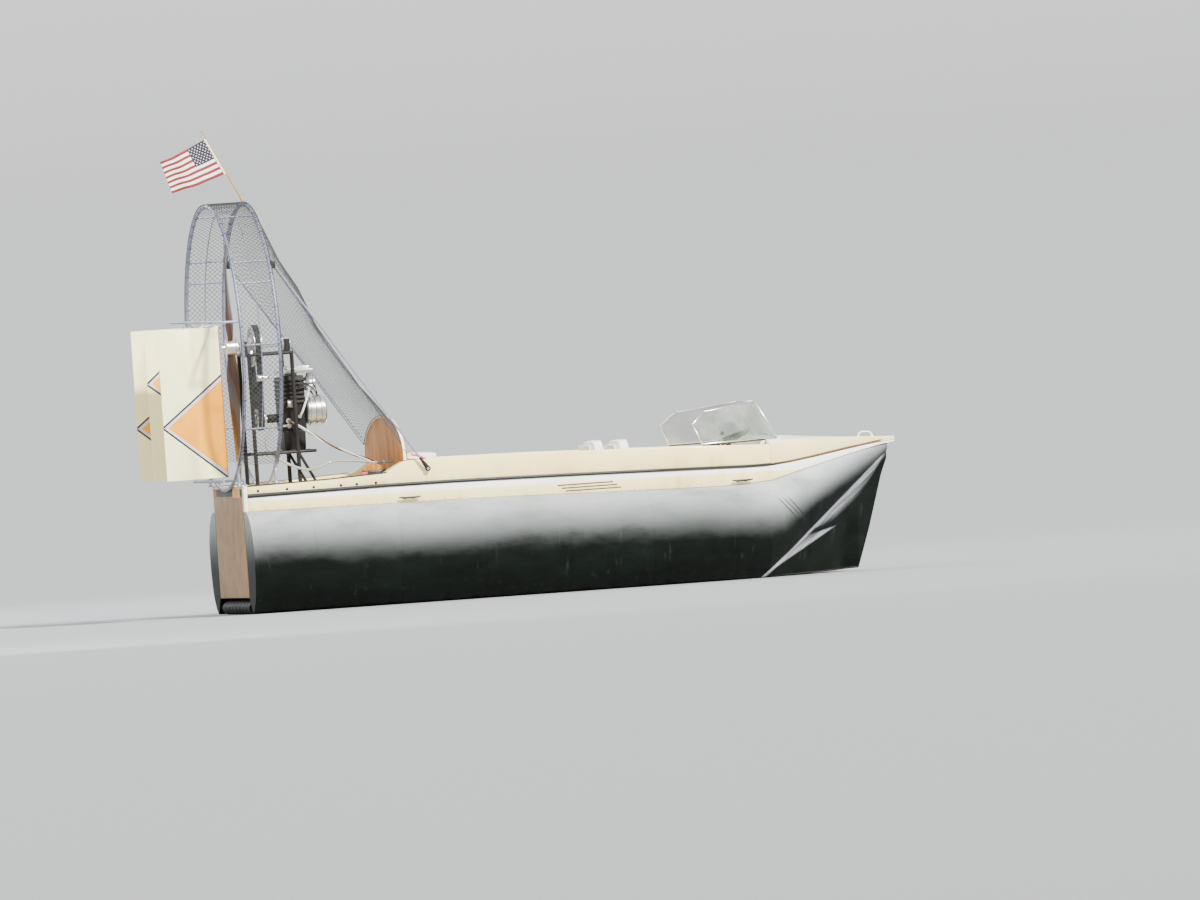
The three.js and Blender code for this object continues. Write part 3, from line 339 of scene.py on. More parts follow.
def board_paint():
    p = Paint("tan_board", 0.6)
    grain = p.noise(9.0, 6.0, 0.6, p.at((6.0, 1.0, 0.3)))
    mottle = p.noise(30.0, 4.0, 0.6)
    tan = p.mix(grain.ramp(0.3, 0.75), linear(188, 122, 34), linear(140, 84, 24))
    p.set(Base_Color=p.mix(mottle.ramp(0.5, 0.8) * 0.35, tan, linear(98, 60, 20)),
          Roughness=0.5 + 0.25 * grain)
    return p.bump(grain * 0.6 + mottle * 0.4, 0.001)


def transom_paint():
    """Tan board with a recess under its pale top edge, painted near black as painted shade, a block in the
    recess, and cream at both ends.
    """
    recess, sill, lip, block_top = 0.857, 0.848, 0.912, 0.918
    block_y, block_half, corner_y, cream_y = -0.32, 0.14, 0.43, 0.545
    p = Paint("transom_paint", 0.5)
    dirt = p.noise(8.0, 6.0, 0.65)
    tan = p.mix(dirt, linear(176, 140, 98), linear(120, 90, 62))
    # Painted shade: below the recess line the board is near black.
    dark = p.mix(dirt, linear(16, 14, 12), linear(44, 34, 26))
    body = p.mix(p.z > recess, tan, dark)
    block = (p.z > sill) * (p.z < block_top) * (abs(p.y - block_y) < block_half)
    body = p.mix(block, body, linear(226, 170, 100))
    body = p.mix((p.z > sill) * (p.y > corner_y), body, linear(150, 92, 44))
    body = p.mix(p.z > lip, body, linear(236, 196, 130))
    ends = abs(p.y) > cream_y
    p.set(Base_Color=p.mix(ends, body, linear(240, 233, 206)), Roughness=0.4 + 0.3 * dirt)
    return p.bump(dirt, 0.001)


def rail_paint():
    """Black extrusion that thins to a brown strip on the bow and ends at a white nose."""
    p = Paint("rub_rail_paint", 0.55)
    scuff = p.noise(40.0, 4.0, 0.6, p.at((0.3, 1.0, 1.0)))
    bow = (p.x - STERN).ramp(3.85, 4.1)
    body = p.mix(bow, linear(8, 8, 11), linear(112, 80, 52))
    body = p.mix(scuff.ramp(0.6, 0.8) * 0.4, body, linear(70, 68, 70))
    nose = (p.x - STERN).ramp(4.80, 4.84)
    p.set(Base_Color=p.mix(nose, body, linear(255, 246, 214)), Roughness=0.45 + 0.2 * scuff)
    return p.bump(scuff, 0.0006)


def vinyl_paint():
    p = Paint("white_vinyl", 0.42)
    crease = p.cells(260.0, "DISTANCE_TO_EDGE")
    soil = p.noise(6.0, 5.0, 0.6)
    p.set(Base_Color=p.mix(soil.ramp(0.5, 0.85) * 0.35, linear(240, 240, 238), linear(190, 186, 176)),
          Roughness=0.36 + 0.2 * soil)
    return p.bump(crease.ramp(0.0, 0.25) * 0.5 + soil * 0.5, 0.0007)


def wood_paint():
    p = Paint("varnished_laminate", 0.3, Coat_Weight=0.6, Coat_Roughness=0.1)
    layers = p.bands(30.0, "X", 1.5)
    grain = p.noise(90.0, 4.0, 0.6, p.at((1.0, 1.0, 0.06)))
    body = p.mix(layers, linear(74, 44, 22), linear(44, 26, 14))
    p.set(Base_Color=p.mix(grain * 0.4, body, linear(28, 18, 12)), Roughness=0.22 + 0.2 * grain)
    return p.bump(grain, 0.0003)


def pane_paint(name, colour, clear):
    """Clear sheet, hazed and whitened by dried spray."""
    p = Paint(name, 0.08, IOR=1.45)
    haze = p.noise(5.0, 5.0, 0.6)
    drops = p.noise(70.0, 3.0, 0.5)
    veil = haze.ramp(0.35, 0.75)
    p.set(Base_Color=p.mix(veil * 0.5, linear(*colour), linear(226, 230, 228)),
          Alpha=clear + 0.12 * veil + 0.08 * drops.ramp(0.55, 0.7), Roughness=0.06 + 0.14 * haze)
    return p


def dry_and_lit(p, along, soil):
    """1 on dry cloth with a painted sky reflection, 0 on soaked cloth in painted shade: the line between them
    dips ahead of the seats, then climbs with the raked bow.
    """
    cloud = p.noise(1.4, 3.0, 0.5)
    # Line where dry cloth with painted light gives way to soaked cloth in painted shade.
    wet_shade_line = 0.56 - (along - 3.2).ramp(0.0, 0.8) * 0.09 + (along - 3.93).most(0.0) * 0.46
    reach = 0.25 - (along - 3.4).ramp(0.0, 0.9) * 0.13
    return ((p.z - wet_shade_line) / reach + (soil - 0.5) * 0.7 + (cloud - 0.5) * 0.4).ramp(-1.0, 1.1)


def crease_shade_lines(p, along):
    """Three dark slanting lines of painted shade in the creases on the shoulder of the bow."""
    slant = along - CREASE_X + CREASE_LEAN * (p.z - CREASE_Z)
    off = (slant + CREASE_GAP / 2) % CREASE_GAP - CREASE_GAP / 2
    line = 1 - abs(off).ramp(0.001, 0.010)
    return line * (slant > -0.02) * (slant < 0.104) * (1 - abs(p.z - 0.505).ramp(0.035, 0.085))


def fold_shine(p, along):
    """Pale light on the bow fold: its ridge, and two leaves of stretched cloth that spread from it."""
    leaf_start, lower_slope = 4.2, 0.493
    fold = FOLD_FOOT[1] + FOLD_SLOPE * (along - FOLD_FOOT[0])
    below = (fold - p.z) * (1 / math.hypot(1, FOLD_SLOPE))
    lean = p.node("ShaderNodeCombineXYZ", inputs={"X": along * 2.6 + p.z * 2.0, "Z": below * 46.0})
    streak = p.noise(1.0, 4.0, 0.6, lean).ramp(0.34, 0.68)
    ridge = (below > -0.006) * (1 - below.ramp(0.004, 0.022))
    share = ((along - leaf_start) / (FOLD_HEAD[0] - leaf_start)).most(0.0).least(1.0)
    width = 0.34 * share * (1 - share) + 0.012
    upper = (below > 0.0) * (1 - (below / width).ramp(0.1, 1.05)) * (0.25 + 0.75 * streak)
    rise = (p.z - FOLD_FOOT[1] - lower_slope * (along - FOLD_FOOT[0])) / math.hypot(1, lower_slope)
    lower = (rise.ramp(-0.012, 0.004) * (1 - rise.ramp(0.006, 0.05) * 0.75) * (below > 0.0)
             * (0.300 + 0.2 * (along - leaf_start) - p.z).ramp(0.0, 0.014) * (0.4 + 0.6 * streak))
    return (upper.most(ridge * 0.8) + lower).least(1.0) * (4.86 - along).ramp(0.0, 0.05)


def skirt_cloth():
    """Coated fabric: pale near the hull, where it is dry and carries a painted sky reflection, and dark low
    down and under the bow fold, where it is soaked and in painted shade; painted highlights on the fold.
    """
    p = Paint("skirt_fabric", 0.5, Specular_IOR_Level=0.12)
    along = p.x - STERN
    soil = p.noise(4.0, 7.0, 0.62, p.at((0.7, 1.0, 1.6)))
    # Pale colour of the upper bag: dry cloth with a painted sky reflection.
    pale = p.mix(soil.ramp(0.35, 0.75), linear(178, 184, 184), linear(136, 143, 142))
    # Painted shade in the three creases.
    pale = p.mix(crease_shade_lines(p, along) * 0.85, pale, linear(26, 32, 30))
    # Dark colour low down and under the fold: soaked cloth with painted shade.
    soaked_and_shaded = p.mix(soil.ramp(0.3, 0.8), linear(2, 6, 3), linear(9, 18, 12))
    body = p.mix(dry_and_lit(p, along, soil), soaked_and_shaded, pale)
    drip = p.noise(26.0, 3.0, 0.5, p.at((1.0, 1.0, 0.1))).ramp(0.6, 0.8)
    body = p.mix(drip * 0.1, body, linear(96, 104, 102))
    shine = fold_shine(p, along)
    p.set(Base_Color=p.mix(shine * 0.85, body, linear(176, 180, 186)),
          Roughness=0.5 + 0.12 * soil - 0.1 * shine)
    weave = p.bands(300.0, "X", 0.4) * 0.5 + p.bands(300.0, "Z", 0.4) * 0.5
    return p.bump(weave * 0.2 + soil * 0.8, 0.002)


def rudder_paint(name, flipped=False):
    """Cream skin with an orange wedge inside a pale and a black line; the wedge may be turned over."""
    apex, top_end = 1.389, 1.747
    pale_line, wedge_line, edge_wide = 0.003, 0.021, 0.008
    run = RUDDER_FRONT - RUDDER_REAR
    p = Paint(name, 0.32, Coat_Weight=0.4, Coat_Roughness=0.15)
    z = (RUDDER_LOW + RUDDER_TOP) - p.z if flipped else p.z
    x = p.x - (STERN + RUDDER_REAR)

    def inside(rise, side):
        return (x * rise - (z - apex) * run) * (side / math.hypot(run, rise))

    depth = inside(top_end - apex, 1).least(inside(RUDDER_LOW - apex, -1))
    dirt = p.noise(6.0, 6.0, 0.6, p.at((1.0, 1.0, 0.4)))
    cream = p.mix(dirt.ramp(0.4, 0.8) * 0.5, linear(250, 246, 190), linear(224, 208, 140))
    orange = p.mix(dirt.ramp(0.3, 0.8) * 0.6, linear(240, 160, 2), linear(218, 134, 0))
    skin = p.mix(depth > -0.011, cream, linear(34, 33, 36))
    skin = p.mix(depth > pale_line, skin, linear(196, 198, 214))
    skin = p.mix(depth > wedge_line, skin, orange)
    edge = x > run - edge_wide
    p.set(Base_Color=p.mix(edge, skin, linear(180, 84, 6)), Roughness=0.26 + 0.2 * dirt)
    return p.bump(p.noise(120.0, 2.0) * 0.4 + dirt * 0.6, 0.0005)


def bunting():
    """Thirteen stripes and a field with fifty stars, laid out on the piece's own map."""
    field_wide, field_low, star_size = 0.4, 6 / 13, 0.065
    p = Paint("flag_cloth", 0.8)
    u, v, _ = p.parts(p.node("ShaderNodeUVMap", {"uv_map": "cloth"}))
    red, white, blue = linear(120, 0, 8), linear(252, 248, 238), linear(3, 6, 38)
    cloth = p.mix((v * 13) % 2 < 1, white, red)
    column = u / field_wide * 12
    row = (v - field_low) / (1 - field_low) * 10
    odd = ((column + 0.5).floor() + (row + 0.5).floor()) % 2
    off_u = abs((column + 0.5) % 1 - 0.5)
    off_v = abs((row + 0.5) % 1 - 0.5)
    star = (off_u * off_u + off_v * off_v < star_size) * (1 - odd)
    inner = (column > 0.5) * (column < 11.5) * (row > 0.5) * (row < 9.5)
    cloth = p.mix((u < field_wide) * (v > field_low), cloth, p.mix(star * inner, blue, white))
    thread = p.noise(700.0, 2.0)
    p.set(Base_Color=p.mix(thread * 0.14, cloth, linear(120, 116, 112)), Sheen_Weight=0.2)
    return p.bump(thread, 0.0003)


def paints():
    cream, sand = (255, 236, 168), (208, 172, 100)
    return {
        "cream": gelcoat("cream_gelcoat", cream, sand, 0.86, 0.95),
        # The lower gelcoat's last colour is a painted highlight band under the rub rail.
        "lower": gelcoat("lower_gelcoat", (255, 236, 172), (196, 160, 92), 0.70, 0.83,
                         highlight_under_rail=(255, 254, 246)),
        # The white gelcoat's last colour is a painted highlight on its level faces.
        "white": gelcoat("white_gelcoat", (255, 238, 176), (214, 186, 122), 0.86, 0.93, (255, 253, 238)),
        "dash": worn("dash_paint", (240, 238, 226), (180, 174, 158), 0.4, 0.3, 200.0, 0.0003),
        "laminate": worn("inside_paint", (150, 126, 92), (84, 68, 48), 0.7, 0.6, 60.0, 0.0015),
        "iron": worn("cast_iron_black", (22, 23, 25), (52, 40, 30), 0.55, 0.6, 130.0, 0.0012, 0.5),
        "rust": worn("rusty_pipe", (96, 56, 34), (44, 32, 26), 0.75, 0.7, 160.0, 0.0012, 0.3),
        "casting": worn("cast_aluminium", (208, 208, 206), (74, 70, 64), 0.30, 0.75, 150.0, 0.0008, 0.9),
        "steel": worn("bright_steel", (226, 228, 230), (104, 100, 94), 0.24, 0.4, 200.0, 0.0003, 0.95),
        "tube": worn("tube_paint", (138, 144, 168), (70, 70, 78), 0.42, 0.5, 220.0, 0.0003, 0.3),
        "wire": worn("net_wire", (70, 72, 74), (44, 42, 40), 0.5, 0.4, 300.0, 0.0002, 0.4),
        "black": worn("black_paint", (14, 15, 17), (52, 50, 48), 0.35, 0.4, 240.0, 0.0003),
        "rubber": worn("black_rubber", (14, 15, 15), (44, 42, 40), 0.75, 0.4, 260.0, 0.0006),
        "hose": worn("hose_braid", (150, 152, 144), (84, 82, 74), 0.45, 0.5, 420.0, 0.0008, 0.2),
        "staff": worn("staff_varnish", (170, 130, 70), (96, 68, 34), 0.4, 0.5, 120.0, 0.0003),
        "enamel": worn("white_enamel", (240, 240, 236), (176, 168, 152), 0.3, 0.3, 120.0, 0.0002),
        "ember": worn("red_enamel", (196, 74, 66), (120, 48, 44), 0.35, 0.3, 160.0, 0.0002),
        "mat": worn("floor_mat", (62, 62, 60), (96, 88, 76), 0.9, 0.5, 500.0, 0.002),
        "board": board_paint(), "transom": transom_paint(), "rail": rail_paint(), "vinyl": vinyl_paint(),
        "wood": wood_paint(), "pane": pane_paint("side_pane", (96, 106, 92), 0.20),
        "front_pane": pane_paint("front_pane", (206, 212, 208), 0.55), "skirt": skirt_cloth(),
        "rudder": rudder_paint("rudder_paint"), "rudder_flipped": rudder_paint("rudder_paint_flipped", True),
        "flag": bunting(),
    }


PAINT = paints()
WELD = 1e-5


# Camera, floor and light

def camera():
    """The photograph was taken from so far off that it shows no perspective."""
    data = bpy.data.cameras.new("camera")
    data.type = "ORTHO"
    data.ortho_scale = PHOTO_WIDTH
    data.clip_end = 1000
    cam = bpy.data.objects.new("camera", data)
    bpy.context.scene.collection.objects.link(cam)
    away = Vector((math.sin(AZIMUTH) * math.cos(ELEVATION), -math.cos(AZIMUTH) * math.cos(ELEVATION),
                   math.sin(ELEVATION)))
    cam.location = LOOK_AT + away * DISTANCE
    cam.rotation_euler = ((-away).to_track_quat("-Z", "Y") @ Quaternion((0, 0, 1), -ROLL)).to_euler()
    bpy.context.scene.camera = cam


def lamp(name, kind, place, power, size, colour):
    data = bpy.data.lights.new(name, kind)
    data.energy = power
    data.color = colour
    if kind == "SUN":
        data.angle = math.radians(size)
    else:
        data.size = size
    made = bpy.data.objects.new(name, data)
    bpy.context.scene.collection.objects.link(made)
    made.location = place
    made.rotation_euler = (Vector((0, 0, 1)) - Vector(place)).to_track_quat("-Z", "Y").to_euler()
    made.visible_camera = False


def studio():
    """A pale floor that curves up far away on every side, one soft sun and a sky."""
    flat, bend, rise, sides = 300.0, 25.0, 60.0, 96
    profile = [(0.0, 0.0), (flat, 0.0)]
    for i in range(1, 13):
        a = math.pi / 2 * i / 12
        profile.append((flat + bend * math.sin(a), bend * (1 - math.cos(a))))
    profile.append((flat + bend, rise))
    bowl = Shape()
    bowl.turned(profile, Vector(), (0, 0, 1), sides, caps=False)
    mesh = bowl.mesh("floor")
    floor = bpy.data.objects.new("floor", mesh)
    bpy.context.scene.collection.objects.link(floor)
    plain = Paint("floor_paint", 0.85)
    plain.set(Base_Color=plain.mix(plain.noise(3.0) * 0.2, linear(140, 142, 144), linear(133, 135, 137)))
    mesh.materials.append(plain.material)
    mesh.polygons.foreach_set("use_smooth", [True] * len(mesh.polygons))
    world = bpy.data.worlds.new("sky")
    bpy.context.scene.world = world
    world.use_nodes = True
    sky = world.node_tree.nodes["Background"].inputs
    sky["Color"].default_value = (0.90, 0.95, 1.0, 1)
    sky["Strength"].default_value = 1.4
    lamp("sun", "SUN", (3.5, -9, 9), 11.5, 5, (1.0, 0.96, 0.90))
    lamp("side", "AREA", (-9, -14, 5), 900, 8, (1.0, 1.0, 1.0))
    lamp("back", "AREA", (-5, 12, 9), 1500, 7, (0.95, 0.98, 1.0))


# Making meshes

def basis(along):
    """Two unit vectors square to a direction."""
    along = Vector(along).normalized()
    side = along.cross(Vector((0, 0, 1)) if abs(along.z) < 0.9 else Vector((1, 0, 0))).normalized()
    return side, along.cross(side)


def round_trip(count, start=0.0):
    """Angles evenly round a circle."""
    return [start + 2 * math.pi * i / count for i in range(count)]


def level(radius, angle, z=0.0):
    """A step sideways at an angle seen from above."""
    return Vector((radius * math.cos(angle), radius * math.sin(angle), z))


def upright(radius, angle):
    """A step at an angle seen from astern."""
    return Vector((0, radius * math.cos(angle), radius * math.sin(angle)))


def oval(flatness):
    return [(math.cos(a), math.sin(a) * flatness) for a in round_trip(12)]


def both_ways(profile):
    """Half a profile from the axis outwards, with its mirror image below it, as one line."""
    return [(r, -h) for r, h in profile] + profile[::-1]


def curve(points, steps):
    """A smooth line through points, each stretch cut into steps."""
    points = [Vector(p) for p in points]
    last = len(points) - 1
    line = []
    for i in range(last):
        p, a, b, q = (points[min(max(i + k, 0), last)] for k in (-1, 0, 1, 2))
        for k in range(steps):
            t = k / steps
            line.append(0.5 * ((2 * a) + (b - p) * t + (2 * p - 5 * a + 4 * b - q) * t * t
                               + (3 * a - p - 3 * b + q) * t * t * t))
    return line + [points[-1]]


class Shape:
    """A mesh being made from the few shapes that the craft is made of."""

    def __init__(self, node=None):
        self.bm = bmesh.new()
        if node:
            self.bm.from_mesh(NODES[node].data)
            bmesh.ops.remove_doubles(self.bm, verts=self.bm.verts, dist=WELD)

    def loft(self, rings, caps=True, closed=True, wrap=False):
        made = [[self.bm.verts.new(p) for p in ring] for ring in rings]
        for a, b in list(zip(made, made[1:])) + ([(made[-1], made[0])] if wrap else []):
            for i in range(len(a) if closed else len(a) - 1):
                j = (i + 1) % len(a)
                self.bm.faces.new((a[i], a[j], b[j], b[i]))
        if caps and not wrap:
            self.bm.faces.new(made[0])
            self.bm.faces.new(made[-1])
        return self

    def turned(self, profile, place, axis, sides=32, wrap=False, caps=True):
        """Pairs of radius and distance along the axis, turned round it."""
        side, up = basis(axis)
        along = Vector(axis).normalized()
        spin = [side * math.cos(a) + up * math.sin(a) for a in round_trip(sides)]
        rings = [[Vector(place) + along * h + s * r for s in spin] for r, h in profile]
        return self.loft(rings, caps=caps and not wrap, wrap=wrap)

    def collar(self, place, axis, bore, radius, low, high, sides=20):
        """A plain ring on an axis, from low to high along it."""
        outline = [(bore, low), (radius, low), (radius, high), (bore, high)]
        return self.turned(outline, place, axis, sides, wrap=True)

    def rod(self, a, b, radius, end_radius=None, sides=12, ease=0.001):
        a, b = Vector(a), Vector(b)
        long = (b - a).length
        far = radius if end_radius is None else end_radius
        return self.turned([(0, 0), (radius - ease, 0), (radius, ease), (far, long - ease),
                            (far - ease, long), (0, long)], a, b - a, sides)

    def sweep(self, points, radius, sides=10, closed=False, section=None):
        """A tube along points, round or with a section given as pairs; radius is one value or one a point."""
        points = [Vector(p) for p in points]
        count = len(points)
        radii = radius if isinstance(radius, (list, tuple)) else [radius] * count
        section = section or [(math.cos(a), math.sin(a)) for a in round_trip(sides)]
        side, rings = None, []
        for i, point in enumerate(points):
            before = points[i - 1] if i or closed else point
            after = points[(i + 1) % count] if i < count - 1 or closed else point
            along = (after - before).normalized()
            side = basis(along)[0] if side is None else (side - along * side.dot(along)).normalized()
            up = along.cross(side)
            rings.append([point + (side * u + up * v) * radii[i] for u, v in section])
        return self.loft(rings, wrap=closed)

    def box(self, low, high, ease=0.003, segments=2, turn=None):
        part = bmesh.new()
        low, high = Vector(low), Vector(high)
        place = Matrix.Translation((low + high) / 2) @ (turn or Matrix.Identity(4))
        bmesh.ops.create_cube(part, size=1, matrix=place @ Matrix.Diagonal((*(high - low), 1)))
        bmesh.ops.bevel(part, geom=part.edges[:], offset=ease, segments=segments, profile=0.5,
                        affect="EDGES", clamp_overlap=True)
        return self.join(part)

    def prism(self, outline, across):
        outline = [Vector(p) for p in outline]
        return self.loft([outline, [p + Vector(across) for p in outline]])

    def join(self, part):
        mesh = bpy.data.meshes.new("part")
        part.to_mesh(mesh)
        part.free()
        self.bm.from_mesh(mesh)
        bpy.data.meshes.remove(mesh)
        return self

    def mesh(self, name):
        bmesh.ops.remove_doubles(self.bm, verts=self.bm.verts, dist=WELD)
        bmesh.ops.recalc_face_normals(self.bm, faces=self.bm.faces)
        mesh = bpy.data.meshes.new(name)
        self.bm.to_mesh(mesh)
        self.bm.free()
        return mesh

    def build(self, name, paint, body="root", stands_for=(), **finish):
        return placed(name, self.mesh(name), paint, body, stands_for, **finish)


def placed(name, mesh, paint, body, stands_for, ease=0.0, angle=40.0):
    """A finished piece: its paint, smooth shading, eased edges, the body it rides on and what it replaces."""
    piece = bpy.data.objects.new(name, mesh)
    bpy.context.scene.collection.objects.link(piece)
    mesh.materials.clear()
    mesh.materials.append(PAINT[paint].material)
    mesh.polygons.foreach_set("use_smooth", [True] * len(mesh.polygons))
    if ease:
        bevel = piece.modifiers.new("ease", "BEVEL")
        bevel.width = ease
        bevel.segments = 2
        bevel.limit_method = "ANGLE"
        bevel.angle_limit = math.radians(angle)
        bevel.harden_normals = True
    else:
        mesh.set_sharp_from_angle(angle=math.radians(angle))
    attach(piece, body)
    if stands_for:
        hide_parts(*stands_for)
    return piece


def eased(node, paint, ease):
    """A part's own shape with its edges rounded over."""
    shape = Shape(node)
    bmesh.ops.dissolve_limit(shape.bm, angle_limit=math.radians(0.6), verts=shape.bm.verts[:],
                             edges=shape.bm.edges[:])
    return shape.build(node + "_eased", paint, "root", (node,), ease=ease, angle=30.0)


def keep(node, paint):
    """A part whose shape is right as it is takes only a finish."""
    slot = NODES[node].material_slots[0]
    slot.link = "OBJECT"
    slot.material = PAINT[paint].material


# Geometry Nodes: what repeats or follows a line

class Grower(Tree):
    """A node group with named sizes that turns lines or points into real meshes of one paint."""

    def __init__(self, name, **sizes):
        group = bpy.data.node_groups.new(name, "GeometryNodeTree")
        super().__init__(group)
        face = group.interface
        face.new_socket("Geometry", in_out="INPUT", socket_type="NodeSocketGeometry")
        self.ids = {}
        for label, value in sizes.items():
            kind = "NodeSocketInt" if isinstance(value, int) else "NodeSocketFloat"
            socket = face.new_socket(label, in_out="INPUT", socket_type=kind)
            socket.default_value = value
            self.ids[label] = socket.identifier
        paint = face.new_socket("Paint", in_out="INPUT", socket_type="NodeSocketMaterial")
        self.ids["Paint"] = paint.identifier
        face.new_socket("Geometry", in_out="OUTPUT", socket_type="NodeSocketGeometry")
        self.given = {s.name: Value(self, s) for s in group.nodes.new("NodeGroupInput").outputs if s.name}

    def finish(self, geometry):
        smooth = self.node("GeometryNodeSetShadeSmooth",
                           inputs={"Geometry": geometry, "Shade Smooth": True})
        real = self.node("GeometryNodeRealizeInstances", inputs={"Geometry": smooth})
        painted = self.node("GeometryNodeSetMaterial",
                            inputs={"Geometry": real, "Material": self.given["Paint"]})
        self.feed(self.tree.nodes.new("NodeGroupOutput").inputs[0], painted)
        return self


def wire_grower():
    """Round wire along every line."""
    g = Grower("wires", Radius=0.001, Sides=5)
    line = g.node("GeometryNodeMeshToCurve", inputs={"Mesh": g.given["Geometry"]})
    ring = g.node("GeometryNodeCurvePrimitiveCircle",
                  inputs={"Resolution": g.given["Sides"], "Radius": g.given["Radius"]})
    return g.finish(g.node("GeometryNodeCurveToMesh",
                           inputs={"Curve": line, "Profile Curve": ring, "Fill Caps": True}))


def stud_grower():
    """A domed head on a washer at every point, turned to face the point's own direction."""
    g = Grower("studs", Radius=0.004, Height=0.003, Sides=12)
    radius, height = g.given["Radius"], g.given["Height"]
    washer = g.node("GeometryNodeMeshCylinder",
                    inputs={"Vertices": g.given["Sides"], "Radius": radius, "Depth": height * 0.4})
    dome = g.node("GeometryNodeMeshUVSphere", inputs={"Segments": g.given["Sides"], "Rings": 6,
                                                      "Radius": radius * 0.72})
    size = g.node("ShaderNodeCombineXYZ", inputs={"X": 1.0, "Y": 1.0, "Z": height / (radius * 0.72)})
    dome = g.node("GeometryNodeTransform", inputs={"Geometry": dome, "Scale": size})
    both = g.tree.nodes.new("GeometryNodeJoinGeometry")
    for part in (dome, washer):
        g.feed(both.inputs[0], part)
    facing = g.node("GeometryNodeInputNamedAttribute", {"data_type": "FLOAT_VECTOR"}, {"Name": "facing"})
    turn = g.node("FunctionNodeAlignRotationToVector", {"axis": "Z"}, {"Vector": facing})
    return g.finish(g.node("GeometryNodeInstanceOnPoints", inputs={
        "Points": g.given["Geometry"], "Instance": Value(g, both.outputs[0]), "Rotation": turn}))


GROWERS = {"wires": wire_grower(), "studs": stud_grower()}


def grown(name, kind, lines, paint, body="root", stands_for=(), facing=None, angle=40.0, **sizes):
    """Lines of points, or single points with the way that each faces, grown into one mesh."""
    grower = GROWERS[kind]
    verts, edges = [], []
    for line in lines:
        edges += [(len(verts) + i, len(verts) + i + 1) for i in range(len(line) - 1)]
        verts += [tuple(p) for p in line]
    seed_mesh = bpy.data.meshes.new("seed")
    seed_mesh.from_pydata(verts, edges, [])
    if facing:
        way = seed_mesh.attributes.new("facing", "FLOAT_VECTOR", "POINT")
        way.data.foreach_set("vector", [c for f in facing for c in f])
    seed = bpy.data.objects.new("seed", seed_mesh)
    bpy.context.scene.collection.objects.link(seed)
    grow = seed.modifiers.new("grow", "NODES")
    grow.node_group = grower.tree
    for label, value in {**sizes, "Paint": PAINT[paint].material}.items():
        grow[grower.ids[label]] = value
    mesh = bpy.data.meshes.new_from_object(seed.evaluated_get(bpy.context.evaluated_depsgraph_get()))
    seed.modifiers.remove(grow)
    bpy.data.objects.remove(seed)
    bpy.data.meshes.remove(seed_mesh)
    mesh.name = name
    return placed(name, mesh, paint, body, stands_for, angle=angle)


def studs(name, places, paint, radius, height, body="root", sides=10):
    """Domed heads; places are pairs of a point and the way that the head faces."""
    return grown(name, "studs", [[p] for p, _ in places], paint, body, facing=[f for _, f in places],
                 Radius=radius, Height=height, Sides=sides)


def bolt_circle(x, y, z, radius, count, start, way):
    """Stud places on a circle, all facing forward (way 1) or aft (way -1)."""
    return [(about(x, y, z, radius, a), (way, 0, 0)) for a in round_trip(count, start)]


# Hull lines, read from the frame

def half(x):
    return between_rows(PANEL, x, "half")


def foot(x):
    return between_rows(PANEL, x, "low")


def rail(x):
    return between_rows(PANEL, x, "high") + 0.0083


def top(x):
    return between_rows(COAMING if x < COAMING[-1]["x"] else DECK, x, "high")


def crown(x):
    return between_rows(CROWN, x, "z")


def deck_z(x, y):
    """Height of the foredeck's skin."""
    return top(x) + (crown(x) - top(x)) * (1 - (y / half(x)) ** 2)


def read_crown():
    tops = {}
    for vertex in NODES["foredeck"].data.vertices:
        x = round(vertex.co.x - STERN, 3)
        tops[x] = max(tops.get(x, 0), vertex.co.z)
    return [{"x": x, "z": tops[x]} for x in sorted(tops)]


CROWN = read_crown()


def spread(low, high, step):
    count = max(int(math.ceil((high - low) / step)), 1)
    return [mixed(low, high, i / count) for i in range(count + 1)]


# Hull

def hull():
    keep("hull_floor", "laminate")
    cover = Shape().box(craft(1.760, -0.520, FLOOR_TOP), craft(3.780, 0.520, FLOOR_TOP + 0.006), 0.002)
    cover.build("floor_cover", "mat")
    for name, side in SIDES.items():
        keep(f"hull_side_{name}", "laminate")
        eased(f"lower_panel_{name}", "lower", 0.005)
        eased(f"coaming_{name}", "cream", 0.007)
        eased(f"skid_{name}", "casting", 0.004)
        trimmings(name, side)
    rub_rail()
    corners = ((4.815, 0.846), (4.874, 0.900), (4.880, 0.922), (4.846, 0.916))
    gusset = Shape().prism([craft(x, -0.004, z) for x, z in corners], (0, 0.008, 0))
    gusset.build("stem_gusset", "enamel", ease=0.001)
    eased("transom", "transom", 0.004)
    eased("aft_deck", "cream", 0.004)
    eased("foredeck", "white", 0.006)


def rub_rail():
    """A rounded band along both sides, which slims down where it turns up over the bow."""
    rails = Shape()
    for side in SIDES.values():
        rings = []
        for x in spread(0.031, 4.934, 0.06):
            slim = smoothstep(3.80, 4.05, x)
            high = mixed(mixed(0.0150, 0.0085, min(x / 3.7, 1)), 0.0045, slim)
            proud = mixed(0.012, 0.006, slim)
            section = both_ways([(-0.012, 1), (proud * 0.3, 1), (proud, 0.5)])
            rings.append([craft(x, side * max(half(x) + out, 0.0005), rail(x) + high * up)
                          for out, up in section])
        rails.loft(rings)
    rails.build("rub_rail_band", "rail", "root", ("rub_rail",), angle=60)


FASTENERS_X, FASTENER_Z = (0.105, 0.314, 0.506, 0.703, 0.818, 0.957), 0.890
CLEATS = ((1.190, 0.765), (3.660, 0.715))
VENT_X, VENT_Z, VENT_HALF = 2.520, 0.754, 0.205


